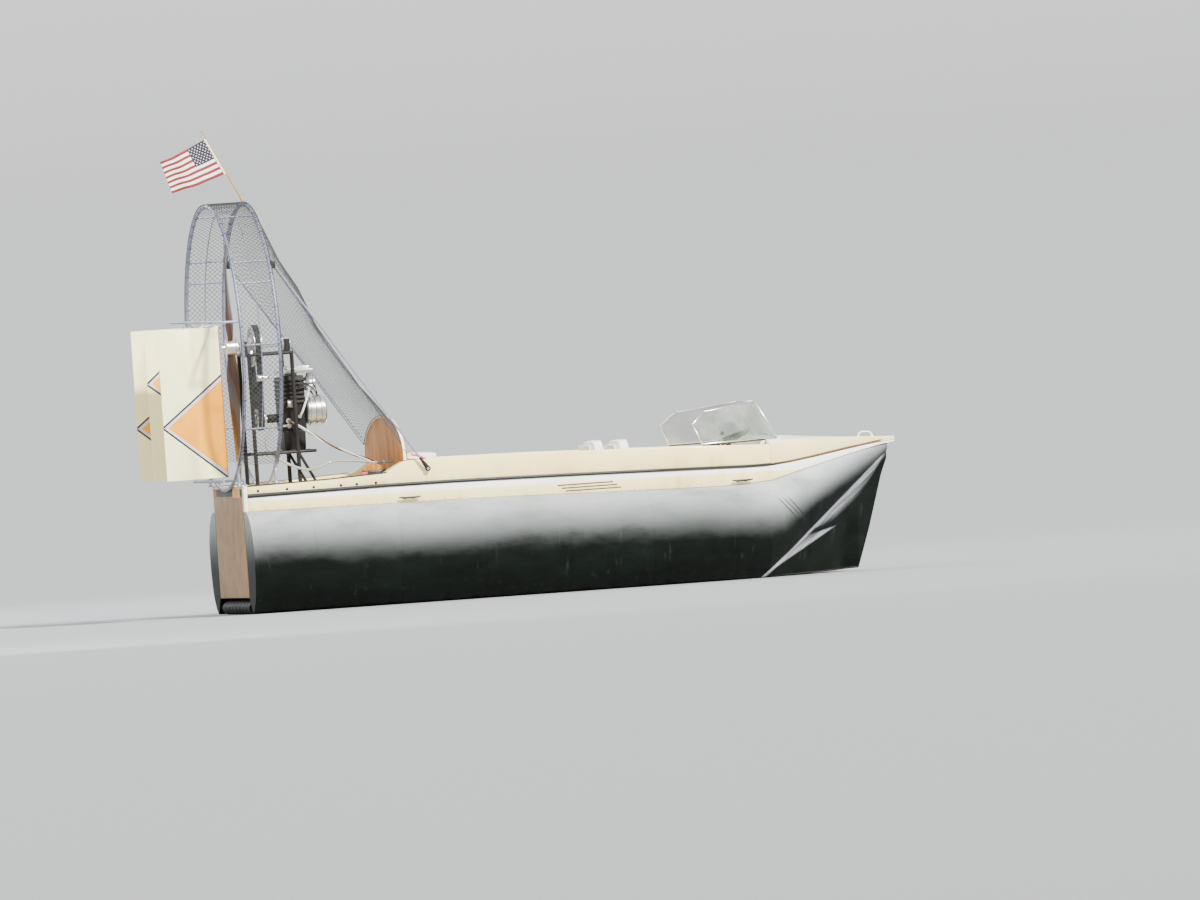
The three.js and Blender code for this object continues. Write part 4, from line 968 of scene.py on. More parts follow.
def trimmings(name, side):
    """What is fixed along one side of the hull: fasteners, cleats and vents; and dark edgings that paint
    shade along the aft coaming's top and the bow's foot.
    """
    def outside(x, z, out=0.0):
        return craft(x, side * (half(x) + out), z)

    fasteners = [(outside(x, FASTENER_Z, 0.0008), (0, side, 0)) for x in FASTENERS_X]
    studs(f"coaming_fasteners_{name}", fasteners, "black", 0.010, 0.004, sides=20)
    cleats = Shape()
    horn = ((0.080, 0.004), (0.060, 0.0065), (0.030, 0.008))
    bar = [(-d, r) for d, r in horn] + list(horn[::-1])
    for x, z in CLEATS:
        for leg in (-0.030, 0.030):
            cleats.rod(outside(x + leg, z, -0.004), outside(x + leg, z, 0.022), 0.009, 0.007, 16)
        cleats.sweep([outside(x + d, z + 0.9 * d * d, 0.026) for d, r in bar], [r for d, r in bar], 12)
    cleats.build(f"cleats_{name}", "black", angle=50)
    dark = Shape()
    for i in (-1, 0, 1):
        middle, z = VENT_X - 0.030 * i, VENT_Z + 0.022 * i
        slot = spread(middle - VENT_HALF, middle + VENT_HALF, 0.05)
        dark.sweep([outside(x, z) for x in slot], 0.0045, 8)
    # Black strips of painted shade: along the top of the aft coaming, and along the foot of the bow against
    # the skirt.
    for height, start, end, radius in ((top, 0.032, 1.040, 0.0055), (foot, 3.300, 4.860, 0.004)):
        dark.sweep([outside(x, height(x), -0.003) for x in spread(start, end, 0.05)], radius, 8)
    dark.build(f"vents_and_shade_edges_{name}", "black", angle=60)


# Skirt

def skirt_section(x):
    """Outer line of the bag at a place along the craft: out from the hull and up from the ground."""
    upper, lower, hem = 22, 20, 14
    at = {column: between_rows(SKIRT, x, column) for column in SKIRT_COLUMNS}
    edge_y, edge_z = half(x), foot(x) - 0.0003
    wide_y, wide_z = half(x) + at["wide"], at["wide_z"]
    crease_y, crease_z = max(half(x) + at["crease"], 0.006), at["crease_z"]
    ground_y, ground_z = max(half(x) + at["ground"], 0.001), at["ground_z"]
    line = []
    for i in range(upper + 1):
        a = i / upper * math.pi / 2
        line.append((mixed(edge_y, wide_y, math.sin(a)), mixed(wide_z, edge_z, math.cos(a))))
    full = math.pi / 2 * 0.8
    for i in range(1, lower + 1):
        a = i / lower * full
        share = (math.cos(a) - math.cos(full)) / (1 - math.cos(full))
        line.append((mixed(crease_y, wide_y, share), mixed(wide_z, crease_z, math.sin(a) / math.sin(full))))
    for i in range(1, hem + 1):
        t = i / hem
        line.append((mixed(crease_y, ground_y, t), mixed(crease_z, ground_z, t) - 0.024 * t * (1 - t)))
    return line


def cloth_relief(x, z, share):
    """How far the cloth stands out from its plain form: panels, seams, hem scallops and creases."""
    spot = Vector((x * 2.2, share * 3.0, 0.0))
    relief = 0.004 * noise.noise(spot) + 0.0022 * noise.noise(spot * 3.7 + Vector((5, 1, 2)))
    relief += 0.003 * noise.noise(Vector((x * 9.0 + z * 5.0, z * 1.6, 3.0))) * smoothstep(0.15, 0.5, share)
    panel = (x + 0.18) % SKIRT_PANEL
    seam = math.exp(-((min(panel, SKIRT_PANEL - panel) / 0.012) ** 2))
    relief -= 0.005 * seam * smoothstep(0.0, 0.1, share)
    scallop = math.sin(math.pi * ((x + 0.05) % HEM_FINGER / HEM_FINGER)) ** 0.6
    relief += 0.008 * scallop * smoothstep(0.62, 0.9, share) * (1 - smoothstep(3.7, 4.0, x))
    for i in range(3):
        from_x, from_z = x - CREASE_X - 0.03 * i, z - CREASE_Z + 0.012 * i
        crease = math.exp(-(((from_x + from_z * CREASE_LEAN) / 0.011) ** 2))
        relief += 0.007 * crease * smoothstep(0.16, 0.11, abs(from_z + 0.07))
    return relief


def skirt_outside(x, line):
    """The bag's outer line with its relief, pushed out square to the line."""
    last = len(line) - 1
    fade = smoothstep(4.86, 4.7, x)
    outer = []
    for i, (y, z) in enumerate(line):
        before, after = line[max(i - 1, 0)], line[min(i + 1, last)]
        run, rise = after[0] - before[0], after[1] - before[1]
        long = math.hypot(run, rise) or 1
        share = i / last
        edge = smoothstep(0.0, 0.12, share) * smoothstep(1.0, 0.93, share) * fade
        out = cloth_relief(x, z, share) * edge
        outer.append((max(y - rise / long * out, 0.001), max(z + run / long * out, 0.003)))
    return outer


def skirt_lining(x, line):
    """The bag's inner line: upright behind the hull's edge, and on the middle plane at the stem."""
    last = len(line) - 1
    lining = []
    for i, (y, z) in enumerate(line[::4] + [line[-1]]):
        share = min(i * 4 / last, 1)
        if x < BOW_START:
            lining.append((half(x) - SKIRT_CLOTH, mixed(line[0][1], SKIRT_HEM, share)))
        elif x < STEM_START:
            lining.append((max(y - SKIRT_CLOTH, 0.0002), z + 0.04 * share))
        else:
            lining.append((0.0002, mixed(line[0][1], line[-1][1] + 0.03, share)))
    return lining


def skirt_side(name, side):
    rings = []
    for x in spread(SKIRT[0]["x"], SKIRT[-1]["x"], 0.0125):
        line = skirt_section(x)
        around = skirt_outside(x, line) + skirt_lining(x, line)[::-1]
        rings.append([craft(x, side * y, z) for y, z in around])
    Shape().loft(rings).build(f"skirt_{name}_bag", "skirt", "root", (f"skirt_{name}",), angle=70)
    hem, rivets = [], []
    for x in spread(0.02, 4.60, 0.02):
        y, z = skirt_section(x)[-1]
        lift = 0.004 * abs(math.sin(math.pi * (x + 0.05) / HEM_FINGER))
        hem.append(craft(x, side * max(y + 0.001, 0.004), max(z, 0.002) + 0.004 + lift))
    Shape().sweep(hem, 0.0045, 8).build(f"skirt_{name}_hem", "rubber")
    for x in spread(0.05, 4.75, 0.1):
        rivets.append((craft(x, side * (half(x) + 0.0008), foot(x) + 0.012), (0, side, 0)))
    studs(f"skirt_{name}_rivets", rivets, "steel", 0.0045, 0.0024)


def skirt_stern():
    low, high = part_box("skirt_stern")
    outline = [(0.094, 0.118), (0.032, 0.095), (0.002, 0.045), (0.032, 0.006), (0.092, 0.004), (0.182, 0.070),
               (0.192, 0.118)]
    line = [(p.x, p.z) for p in curve([(x, 0, z) for x, z in outline], 7)]
    rings = []
    for y in spread(low.y, high.y, 0.012):
        pull = 0.004 * math.sin(2 * math.pi * y / 0.13) + 0.003 * noise.noise(Vector((0, y * 9, 4)))
        ring = []
        for i, (x, z) in enumerate(line):
            share = math.sin(math.pi * i / (len(line) - 1))
            ring.append(craft(max(x - pull * share, 0.0015), y, max(z, 0.003)))
        rings.append(ring)
    Shape().loft(rings).build("skirt_stern_bag", "skirt", "root", ("skirt_stern",), angle=60)


# Bulkhead

ARCH_X, SHOULDER, ARCH_TOP = 1.1725, 1.066, 1.365


def arch_z(y):
    out = half(ARCH_X) - 0.004
    return SHOULDER + (ARCH_TOP - SHOULDER) * math.sqrt(max(1 - (y / out) ** 2, 0))


def bulkhead():
    eased("arch_bulkhead", "board", 0.003)
    arch_edging()
    stowed_things()


def arch_edging():
    """White strip bent over the rim of the arch, with a lip on each face."""
    out, rise, low = half(ARCH_X) - 0.004, ARCH_TOP - SHOULDER, top(ARCH_X) + 0.006
    rear, front, lip, proud = ARCH_X - 0.0015, ARCH_X + 0.017, -0.012, 0.003
    rim = [(-out, low, -1, 0)]
    for a in spread(0, math.pi, 0.06):
        side, up = -math.cos(a), math.sin(a)
        rim.append((out * side, SHOULDER + rise * up, side * rise, up * out))
    rim.append((out, low, 1, 0))
    rings = []
    for y, z, side, up in rim:
        long = math.hypot(side, up)
        rings.append([craft(x, y + side / long * d, z + up / long * d)
                      for x, d in ((rear, lip), (rear, proud), (front, proud), (front, lip))])
    Shape().loft(rings).build("arch_edging", "enamel", ease=0.0015)


def stowed_things():
    """A dark box with a tan wedge on its lid and a red tab, stowed behind the arch."""
    stow = Shape().box(craft(0.930, -0.420, 0.896), craft(1.110, -0.310, 0.975), 0.006)
    stow.build("stowed_box", "black")
    outline = ((0.935, 0.9755), (1.105, 0.9755), (1.105, 0.985), (1.007, 1.039), (0.935, 0.985))
    wedge = Shape().prism([craft(x, -0.410, z) for x, z in outline], (0, 0.090, 0))
    wedge.build("stowed_wedge", "board", ease=0.003)
    tab = Shape().box(craft(0.917, -0.424, 0.940), craft(0.960, -0.4205, 0.970), 0.001)
    tab.build("stowed_tab", "ember")


# Cage

def on_cage(x, degrees):
    return about(x, 0, CAGE_Z, CAGE_RADIUS, math.radians(degrees))


def cage():
    for name, x in (("rear", CAGE_REAR), ("front", CAGE_FRONT)):
        hoop(name, x)
    for name, side in SIDES.items():
        cage_bars(name, side)
    drum_net()
    bonnet_net()
    for name, side in SIDES.items():
        stay(name, side)


def hoop(name, x):
    """A bent tube on two legs, each welded to a foot that is bolted to the deck."""
    leg_y, bolt_x, bolt_y = 0.54, 0.034, 0.019
    deck = top(x + 0.06) + 0.001
    leg_top = CAGE_Z - math.sqrt(CAGE_RADIUS ** 2 - leg_y ** 2)
    weld = [(0.011, 0), (0.016, 0.001), (0.013, 0.010), (0.011, 0.016)]
    tube = Shape().sweep([on_cage(x, a) for a in spread(0, 358, 2.3)], TUBE, 14, closed=True)
    bolts = []
    for y in (-leg_y, leg_y):
        tube.rod(craft(x, y, deck + 0.003), craft(x, y, leg_top), 0.011, sides=16)
        tube.box(craft(x - TUBE, y - 0.03, deck), craft(x + 0.05, y + 0.03, deck + 0.006), 0.0015)
        tube.turned(weld, craft(x, y, deck + 0.006), UPWARD, 16, wrap=True)
        bolts += [(craft(x + bolt_x, y + s * bolt_y, deck + 0.0065), UPWARD) for s in (-1, 1)]
    tube.build(f"hoop_{name}_tube", "tube", "root", (f"cage_hoop_{name}",), angle=50)
    studs(f"hoop_{name}_bolts", bolts, "steel", 0.006, 0.005)


def cage_bars(name, side):
    """Rods from hoop to hoop, and a thin rod bent round half of the drum's middle."""
    def turned_out(degrees):
        return degrees if side > 0 else 180 - degrees

    bars = Shape()
    for degrees in (67, 37, 27, 1, -35):
        turn = turned_out(degrees)
        bars.rod(on_cage(CAGE_REAR + TUBE, turn), on_cage(CAGE_FRONT - TUBE, turn), 0.007, sides=12)
    middle = (CAGE_REAR + CAGE_FRONT) / 2
    bars.sweep([on_cage(middle, turned_out(degrees)) for degrees in range(67, -36, -3)], 0.004, 8)
    bars.build(f"cage_bars_{name}_rods", "tube", "root", (f"cage_bars_{name}",))


def drum_net():
    """Diamond mesh wrapped round the hoops: two families of slanting wires, rims and ties."""
    rear, front = CAGE_REAR - TUBE, CAGE_FRONT + TUBE
    low, high = math.radians(NET_LOW), math.radians(180 - NET_LOW)
    step = NET_MESH * math.sqrt(2) / NET_RADIUS
    lean = (front - rear) / NET_RADIUS
    weave, cuts = 0.0012, 8
    lines = []
    for family in (-1, 1):
        start = low - lean
        while start < high + lean:
            line = []
            for i in range(cuts + 1):
                t = i / cuts
                a = start + (lean * t if family > 0 else lean * (1 - t))
                if low <= a <= high:
                    line.append(about(mixed(rear, front, t), 0, CAGE_Z, NET_RADIUS + weave * family, a))
            if len(line) > 1:
                lines.append(line)
            start += step
    grown("cage_net_mesh", "wires", lines, "wire", "root", ("cage_net",), angle=80, Radius=NET_WIRE, Sides=5)
    rims = Shape()
    for x in (rear + 0.002, front - 0.002):
        rims.sweep([about(x, 0, CAGE_Z, NET_RADIUS, a) for a in spread(low, high, 0.03)], 0.0028, 6)
    rims.build("cage_net_selvage", "wire")
    net_ties()


def net_ties():
    """Small wire loops that hold the net to both hoops."""
    ties = Shape()
    for a in spread(math.radians(NET_LOW + 4), math.radians(176 - NET_LOW), math.radians(7.5)):
        out = upright(1, a)
        for x in (CAGE_REAR, CAGE_FRONT):
            centre = about(x, 0, CAGE_Z, CAGE_RADIUS, a)
            ties.sweep([centre + (Vector(FORWARD) * math.cos(b) + out * math.sin(b)) * (TUBE + 0.0022)
                        for b in round_trip(14)], 0.0016, 5, closed=True)
    ties.build("cage_net_ties", "black")


# Sag of the bonnet net's middle line, by share of the way from the hoop to the arch
BONNET_SAG = [{"x": share, "rise": rise} for share, rise in (
    (0.0, 0.0), (0.15, -0.090), (0.333, -0.045), (0.445, -0.160), (0.75, -0.100), (1.0, 0.0))]


def bonnet_point(u, t):
    """A place on the net between the front hoop (t 0) and the arch (t 1), u from -1 to 1 across."""
    start, end = CAGE_FRONT + TUBE + 0.004, ARCH_X - 0.006
    upper_y, lower_y = 0.838 * u, (half(ARCH_X) - 0.040) * u
    upper_z = CAGE_Z + math.sqrt((CAGE_RADIUS - 0.002) ** 2 - upper_y ** 2)
    hollow = 0.32 * (math.sin(math.pi * t) * u) ** 2
    rise = (between_rows(BONNET_SAG, t, "rise") - hollow) * (1 - u * u)
    return craft(mixed(start, end, t), mixed(upper_y, lower_y, t),
                 mixed(upper_z, arch_z(lower_y) - 0.003, t) + rise)


def bonnet_net():
    """Two families of crossing wires over the bonnet, inside a border wire."""
    across, down = 40, 52
    lines = []
    for family in (-1, 1):
        for start in range(-down, across + 1):
            line = []
            for k in range(down + 1):
                column = start + k if family > 0 else across - start - k
                if 0 <= column <= across:
                    line.append(bonnet_point(column / across * 2 - 1, k / down))
            if len(line) > 1:
                lines.append(line)
    grown("bonnet_net_mesh", "wires", lines, "wire", "root", ("bonnet_net",), angle=80,
          Radius=0.0012, Sides=4)
    border = Shape()
    for u in (-1, 1):
        border.sweep([bonnet_point(u, t) for t in spread(0, 1, 0.05)], 0.003, 6)
    for t in (0, 1):
        border.sweep([bonnet_point(u, t) for u in spread(-1, 1, 0.05)], 0.003, 6)
    border.build("bonnet_net_border", "wire")


def stay(name, side):
    """A tube from the front hoop to a flattened eye on a bolt in the side of the hull."""
    eye_x, eye_z = 1.337, 0.967
    hull_y = half(eye_x)
    eye = craft(eye_x, side * (hull_y + 0.032), eye_z)
    head = craft(0.287, side * 0.858, 2.524)
    along = (head - eye).normalized()
    rod = Shape().sweep([head, mixed(head, eye, 0.5), eye + along * 0.12, eye + along * 0.085],
                        [0.0065, 0.0065, 0.0065, 0.006], 10)
    rod.build(f"stay_{name}_rod", "tube", "root", (f"stay_{name}",))
    wide = along.cross(Vector(ACROSS)).normalized()
    neck = ((0.10, 0.0085, 0.0085), (0.07, 0.011, 0.0065), (0.04, 0.015, 0.0045), (0.012, 0.017, 0.004))
    flat = Shape().loft([[eye + along * d + wide * (w * math.cos(a)) + Vector((0, h * math.sin(a), 0))
                          for a in round_trip(14)] for d, w, h in neck])
    flat.turned(both_ways([(0.009, 0.004), (0.0195, 0.004), (0.020, 0.003)]), eye, ACROSS, 28, wrap=True)
    flat.build(f"stay_{name}_eye", "black")
    bolt = Shape().rod(craft(eye_x, side * (hull_y + 0.001), eye_z), eye + Vector((0, side * 0.008, 0)),
                       0.0085, sides=16)
    bolt.turned([(0.0, 0), (0.0105, 0), (0.0105, 0.006), (0.0, 0.0062)], eye + Vector((0, side * 0.004, 0)),
                (0, side, 0), 6)
    bolt.build(f"stay_{name}_bolt", "steel")
    clamp = Shape().box(head - Vector((0.018, 0.014, 0.03)), head + Vector((0.012, 0.014, 0.03)), 0.003)
    clamp.build(f"stay_{name}_clamp", "black")


# Propeller and drive

# Blade: chord and depth of its section, by share of the radius
BLADE = [dict(zip(("x", "chord", "depth"), row)) for row in (
    (0.04, 0.062, 0.044), (0.12, 0.082, 0.034), (0.25, 0.122, 0.024), (0.45, 0.138, 0.018),
    (0.65, 0.124, 0.014), (0.85, 0.098, 0.010), (0.96, 0.072, 0.007), (1.0, 0.034, 0.004))]
PROP_X, PROP_RADIUS, PITCH = 0.100, 0.960, 1.050


def airfoil():
    """Section from the leading edge over the back and home along the face, as shares of chord and depth."""
    cuts = 11
    shares = [i / cuts for i in range(cuts + 1)]
    back = [(-0.5 + s, 0.5 * (math.sin(math.pi * s ** 0.62)) ** 0.75) for s in shares]
    face = [(0.5 - s, -0.22 * math.sin(math.pi * s) ** 0.8) for s in shares[1:-1]]
    return back + face


def blade_section(share, section, way, inset=0.0):
    """A section of the upper (way 1) or lower (way -1) blade, turned to the propeller's pitch."""
    r = PROP_RADIUS * share
    angle = math.atan(PITCH / (2 * math.pi * max(r, 0.150)))
    chord, depth = between_rows(BLADE, share, "chord"), between_rows(BLADE, share, "depth")
    ring = []
    for s, t in section:
        x = s * chord * math.sin(angle) + t * depth * math.cos(angle)
        y = s * chord * math.cos(angle) - t * depth * math.sin(angle)
        ring.append(craft(PROP_X + x, way * y, SHAFT_Z + way * (r - inset)))
    return ring


def blade(name, way, stands_for=()):
    """A laminate blade with a metal guard over the outer part of its leading edge."""
    section = airfoil()
    rings = [blade_section(share, section, way) for share in spread(0.04, 1.0, 0.03)]
    Shape().loft(rings).build(f"propeller_blade_{name}", "wood", "propeller", stands_for, angle=35)
    edge = [((s + 0.35) * 0.28 - 0.392, t * 1.16) for s, t in section]
    rings = [blade_section(share, edge, way, 0.0015) for share in (0.86, 0.90, 0.95, 0.985, 1.0)]
    Shape().loft(rings).build(f"propeller_guard_{name}", "steel", "propeller", angle=35)


def propeller_hub():
    bore, place = 0.0163, craft(PROP_X, 0, SHAFT_Z)
    hub = Shape().turned(both_ways([(bore, 0.032), (0.053, 0.032), (0.055, 0.030)]), place, FORWARD, 40,
                         wrap=True)
    hub.build("propeller_hub", "casting", "propeller")
    plates = Shape()
    plate = both_ways([(bore, 0.00375), (0.061, 0.00375), (0.063, 0.00275)])
    bolts = []
    for way in (-1, 1):
        plates.turned(plate, craft(PROP_X + way * 0.03625, 0, SHAFT_Z), FORWARD, 40, wrap=True)
        bolts += bolt_circle(PROP_X + way * 0.0405, 0, SHAFT_Z, 0.042, 8, 0, way)
    plates.build("propeller_plates", "steel", "propeller")
    studs("propeller_bolts", bolts, "steel", 0.006, 0.006, "propeller", 6)


def propeller():
    blade("upper", 1, ("propeller",))
    blade("lower", -1)
    propeller_hub()
    shaft = Shape().rod(craft(0.030, 0, SHAFT_Z), craft(0.540, 0, SHAFT_Z), 0.016, sides=32, ease=0.002)
    ring = both_ways([(0.0155, 0.007), (0.024, 0.006)])
    for x in (0.046, 0.150, 0.225, 0.335, 0.470, 0.532):
        shaft.turned(ring, craft(x, 0, SHAFT_Z), FORWARD, 28, wrap=True)
    shaft.build("shaft_bar", "steel", "propeller", ("prop_shaft",))
    pulley("top_pulley", SHAFT_Z, TOP_PULLEY, "propeller", spokes=6)
    pulley("crank_pulley_wheel", CRANK_Z, CRANK_PULLEY, "crank_pulley", ("crank_pulley",))
    belt()
    drive_frame()


def pulley(name, z, radius, body, stands_for=(), spokes=0):
    """Flat belt pulley with a bright flange each side, on spokes or on a plain web."""
    h, hub, bore, place = 0.0275, 0.034, 0.0162, craft(PULLEY_X, 0, z)
    web = radius - 0.016
    flange = radius + 0.005
    rim = [(web, h), (flange - 0.001, h), (flange, h - 0.001), (flange, h - 0.004), (radius, h - 0.006)]
    boss = [(bore, h + 0.004), (hub - 0.002, h + 0.004), (hub, h + 0.002)]
    wheel = Shape().turned(both_ways(rim), place, FORWARD, 64, wrap=True)
    wheel.turned(both_ways(boss), place, FORWARD, 32, wrap=True)
    for a in round_trip(spokes):
        wheel.sweep([place + upright(r, a) for r in (hub - 0.003, hub + 0.03, web - 0.02, web + 0.003)],
                    [0.017, 0.012, 0.012, 0.018], section=oval(0.6))
    if not spokes:
        wheel.collar(place, FORWARD, hub - 0.004, web + 0.002, -0.010, 0.010, 48)
        wheel.rod(craft(PULLEY_X - 0.030, 0, z), craft(PULLEY_X + 0.054, 0, z), 0.016, sides=28, ease=0.002)
    wheel.build(name, "casting", body, stands_for, angle=35)
    studs(name + "_bolts", bolt_circle(PULLEY_X - h - 0.004, 0, z, 0.026, 4, 0.4, -1), "steel", 0.004, 0.004,
          body, 6)


def belt():
    """Loop round both pulleys, with ribs across its inside."""
    lean = math.asin((TOP_PULLEY - CRANK_PULLEY) / (SHAFT_Z - CRANK_Z))

    def loop(out):
        upper, lower = TOP_PULLEY + out, CRANK_PULLEY + out
        return ([(upper * math.cos(a), SHAFT_Z + upper * math.sin(a))
                 for a in spread(-lean, math.pi + lean, 0.06)]
                + [(lower * math.cos(a), CRANK_Z + lower * math.sin(a))
                   for a in spread(math.pi + lean, 2 * math.pi - lean, 0.06)])

    rings = [[craft(PULLEY_X + d, y, z) for d, (y, z) in (
        (-BELT_HALF, inner), (-BELT_HALF, outer), (BELT_HALF, outer), (BELT_HALF, inner))]
        for inner, outer in zip(loop(0.0032), loop(0.0090))]
    Shape().loft(rings, wrap=True).build("drive_belt_band", "rubber", "root", ("drive_belt",), angle=35)
    cogs = Shape()
    cog_half, cog_high, cog_long, pitch = BELT_HALF - 0.001, 0.0012, 0.0035, 0.014
    corners = ((-cog_half, -cog_high), (cog_half, -cog_high), (cog_half, cog_high), (-cog_half, cog_high))
    path = [Vector((0, y, z)) for y, z in loop(0.0024)]
    ahead = 0.0
    for a, b in zip(path, path[1:] + path[:1]):
        step, along = (b - a).length, (b - a).normalized()
        out = Vector((0, along.z, -along.y))
        while ahead < step:
            place = craft(PULLEY_X, a.y, a.z) + along * ahead
            ends = [place + along * s * cog_long for s in (-1, 1)]
            cogs.loft([[end + Vector((d, 0, 0)) + out * up for d, up in corners] for end in ends])
            ahead += pitch
        ahead -= step
    cogs.build("drive_belt_cogs", "rubber")


def drive_frame():
    eased("drive_frame", "iron", 0.003)
    shell = both_ways([(0.0172, 0.030), (0.040, 0.030), (0.043, 0.026), (0.043, 0.021), (0.050, 0.018)])
    for i, x in enumerate(BEARINGS_X):
        housing = Shape().turned(shell, craft(x, 0, SHAFT_Z), FORWARD, 40, wrap=True)
        housing.build(f"bearing_{i + 1}_housing", "casting")
        bolts = [(craft(x, y, SHAFT_Z + 0.0385), UPWARD) for y in (-0.044, 0.044)]
        for way in (-1, 1):
            bolts += bolt_circle(x + way * 0.0305, 0, SHAFT_Z, 0.036, 4, 0.8, way)
        studs(f"bearing_{i + 1}_bolts", bolts, "steel", 0.006, 0.006, "root", 6)
    feet = []
    for x, size in zip((*BEARINGS_X, 0.640), (0.035, 0.035, 0.030)):
        inset = size - 0.008
        for y in (-0.190, 0.190):
            feet += [(craft(x + a * inset, y + b * inset, DECK_TOP), UPWARD)
                     for a in (-1, 1) for b in (-1, 1)]
    studs("stand_bolts", feet, "steel", 0.0065, 0.006, "root", 6)


# Engine

def engine():
    eased("engine_block", "iron", 0.003)
    eased("engine_cover", "casting", 0.006)
    eased("oil_pan", "iron", 0.008)
    carburettor()
    alternator()
    hoses()
    ignition()
    accessories()


def accessories():
    """Bright small parts on the engine's near side: belt idler, filter, hose unions and a breather hose."""
    idler = craft(0, -0.149, 1.700)
    bright = Shape().turned([(0.008, 0.250), (0.022, 0.250), (0.025, 0.253), (0.025, 0.297), (0.022, 0.300),
                             (0.008, 0.300)], idler, FORWARD, 32, wrap=True)
    bright.turned([(0, 0.300), (0.018, 0.300), (0.018, 0.322), (0.010, 0.325), (0, 0.345)], idler,
                  FORWARD, 24)
    bright.turned([(0, 0.458), (0.026, 0.458), (0.030, 0.462), (0.030, 0.505), (0.024, 0.512), (0, 0.513)],
                  craft(0, -0.134, 1.500), FORWARD, 32)
    block_side = -0.105
    for x, z, out, radius, sides in ((0.466, 1.340, 0.017, 0.017, 20), (0.464, 1.377, 0.019, 0.019, 20),
                                     (0.548, 1.402, 0.023, 0.013, 16)):
        bright.rod(craft(x, block_side, z), craft(x, block_side - out, z), radius, sides=sides)
    bright.build("engine_bright_parts", "casting", angle=35)
    arm = Shape().rod(idler + Vector((0.255, 0, 0)), craft(0.424, -0.108, 1.700), 0.007)
    arm.build("belt_idler_arm", "steel")
    breather = curve([craft(0.640, -0.036, 1.606), craft(0.636, -0.085, 1.590), craft(0.606, -0.135, 1.530),
                      craft(0.566, -0.150, 1.440), craft(0.548, -0.126, 1.402)], 8)
    Shape().sweep(breather, 0.0075, 12).build("breather_hose", "enamel", angle=60)


def carburettor():
    low, high, y, z = 0.600, 0.700, 0.0, 1.640
    horn = [(0.024, low), (0.038, low), (0.042, low + 0.006), (0.042, low + 0.020), (0.036, low + 0.026),
            (0.036, high - 0.026), (0.042, high - 0.018), (0.042, high - 0.004), (0.040, high), (0.030, high),
            (0.026, high - 0.030), (0.024, low + 0.010)]
    body = Shape().turned(horn, craft(0, y, z), FORWARD, 40, wrap=True)
    body.box(craft(0.622, -0.038, 1.585), craft(0.682, 0.038, 1.628), 0.007, 3)
    body.box(craft(0.628, -0.028, 1.655), craft(0.676, 0.028, 1.690), 0.006, 3)
    body.turned([(0, 1.686), (0.018, 1.686), (0.020, 1.690), (0.020, 1.706), (0.017, 1.712), (0, 1.713)],
                craft(0.652, -0.020, 0), UPWARD, 28)
    body.turned([(0, 0), (0.012, 0), (0.012, 0.010), (0.006, 0.014), (0.006, 0.022), (0, 0.023)],
                craft(0.652, 0.038, 1.606), ACROSS, 18)
    body.build("carburettor_body", "casting", "root", ("carburettor",), angle=35)
    flange = Shape().box(craft(0.5985, -0.052, 1.600), craft(0.6065, 0.052, 1.682), 0.002)
    flange.build("carburettor_flange", "steel")
    spindle_x = 0.640
    throttle = Shape().sweep([craft(spindle_x, y, z) for y in (-0.050, -0.043, 0.046)], 0.004, 8)
    throttle.box(craft(spindle_x - 0.012, -0.052, 1.622), craft(spindle_x + 0.012, -0.049, 1.668), 0.001, 1)
    throttle.build("carburettor_linkage", "steel")


def alternator():
    y, z, radius, rib, ribs_x = -0.062, 1.440, 0.100, 0.010, (0.635, 0.675, 0.715)
    place = craft(0, y, z)
    profile = [(0.0, 0.602), (0.060, 0.602), (0.092, 0.606), (radius, 0.616)]
    for x in ribs_x:
        profile += [(radius, x - 0.010), (radius + rib, x - 0.007), (radius + rib, x + 0.007),
                    (radius, x + 0.010)]
    profile += [(radius, 0.735), (0.090, 0.745), (0.036, 0.746), (0.034, 0.750), (0.034, 0.758),
                (0.030, 0.7605), (0, 0.7605)]
    case = Shape().turned(profile, place, FORWARD, 64)
    case.build("alternator_case", "casting", "root", ("alternator",), angle=32)
    fins, fin_half = Shape(), 0.0016
    outline = ((0.724, 0.0985), (0.744, 0.086), (0.746, 0.045), (0.749, 0.045), (0.749, 0.088),
               (0.726, 0.104))
    for a in round_trip(40):
        beside = upright(fin_half, a + math.pi / 2)
        fins.loft([[place + Vector((x, 0, 0)) + upright(r, a) + beside * s for x, r in outline]
                   for s in (-1, 1)])
    fins.build("alternator_fins", "casting", angle=30)
    studs("alternator_bolts", bolt_circle(0.749, y, z, 0.072, 4, 0.7, 1), "steel", 0.006, 0.006, "root", 6)


HOSE_ROUTE = [(0.466, -0.111, 1.340), (0.440, -0.140, 1.341), (0.400, -0.156, 1.338), (0.340, -0.158, 1.322),
              (0.285, -0.160, 1.265), (0.290, -0.163, 1.180), (0.400, -0.185, 1.080), (0.540, -0.238, 1.018),
              (0.640, -0.262, 1.030), (0.742, -0.262, 1.062), (0.889, -0.262, 1.056), (1.040, -0.270, 1.034),
              (1.171, -0.275, 1.030)]
LOOM_ROUTE = [(0.464, -0.119, 1.377), (0.500, -0.152, 1.352), (0.610, -0.188, 1.275), (0.700, -0.185, 1.212),
              (0.800, -0.165, 1.156), (0.900, -0.145, 1.108), (1.060, -0.125, 1.040), (1.125, -0.120, 0.974),
              (1.171, -0.120, 0.968)]


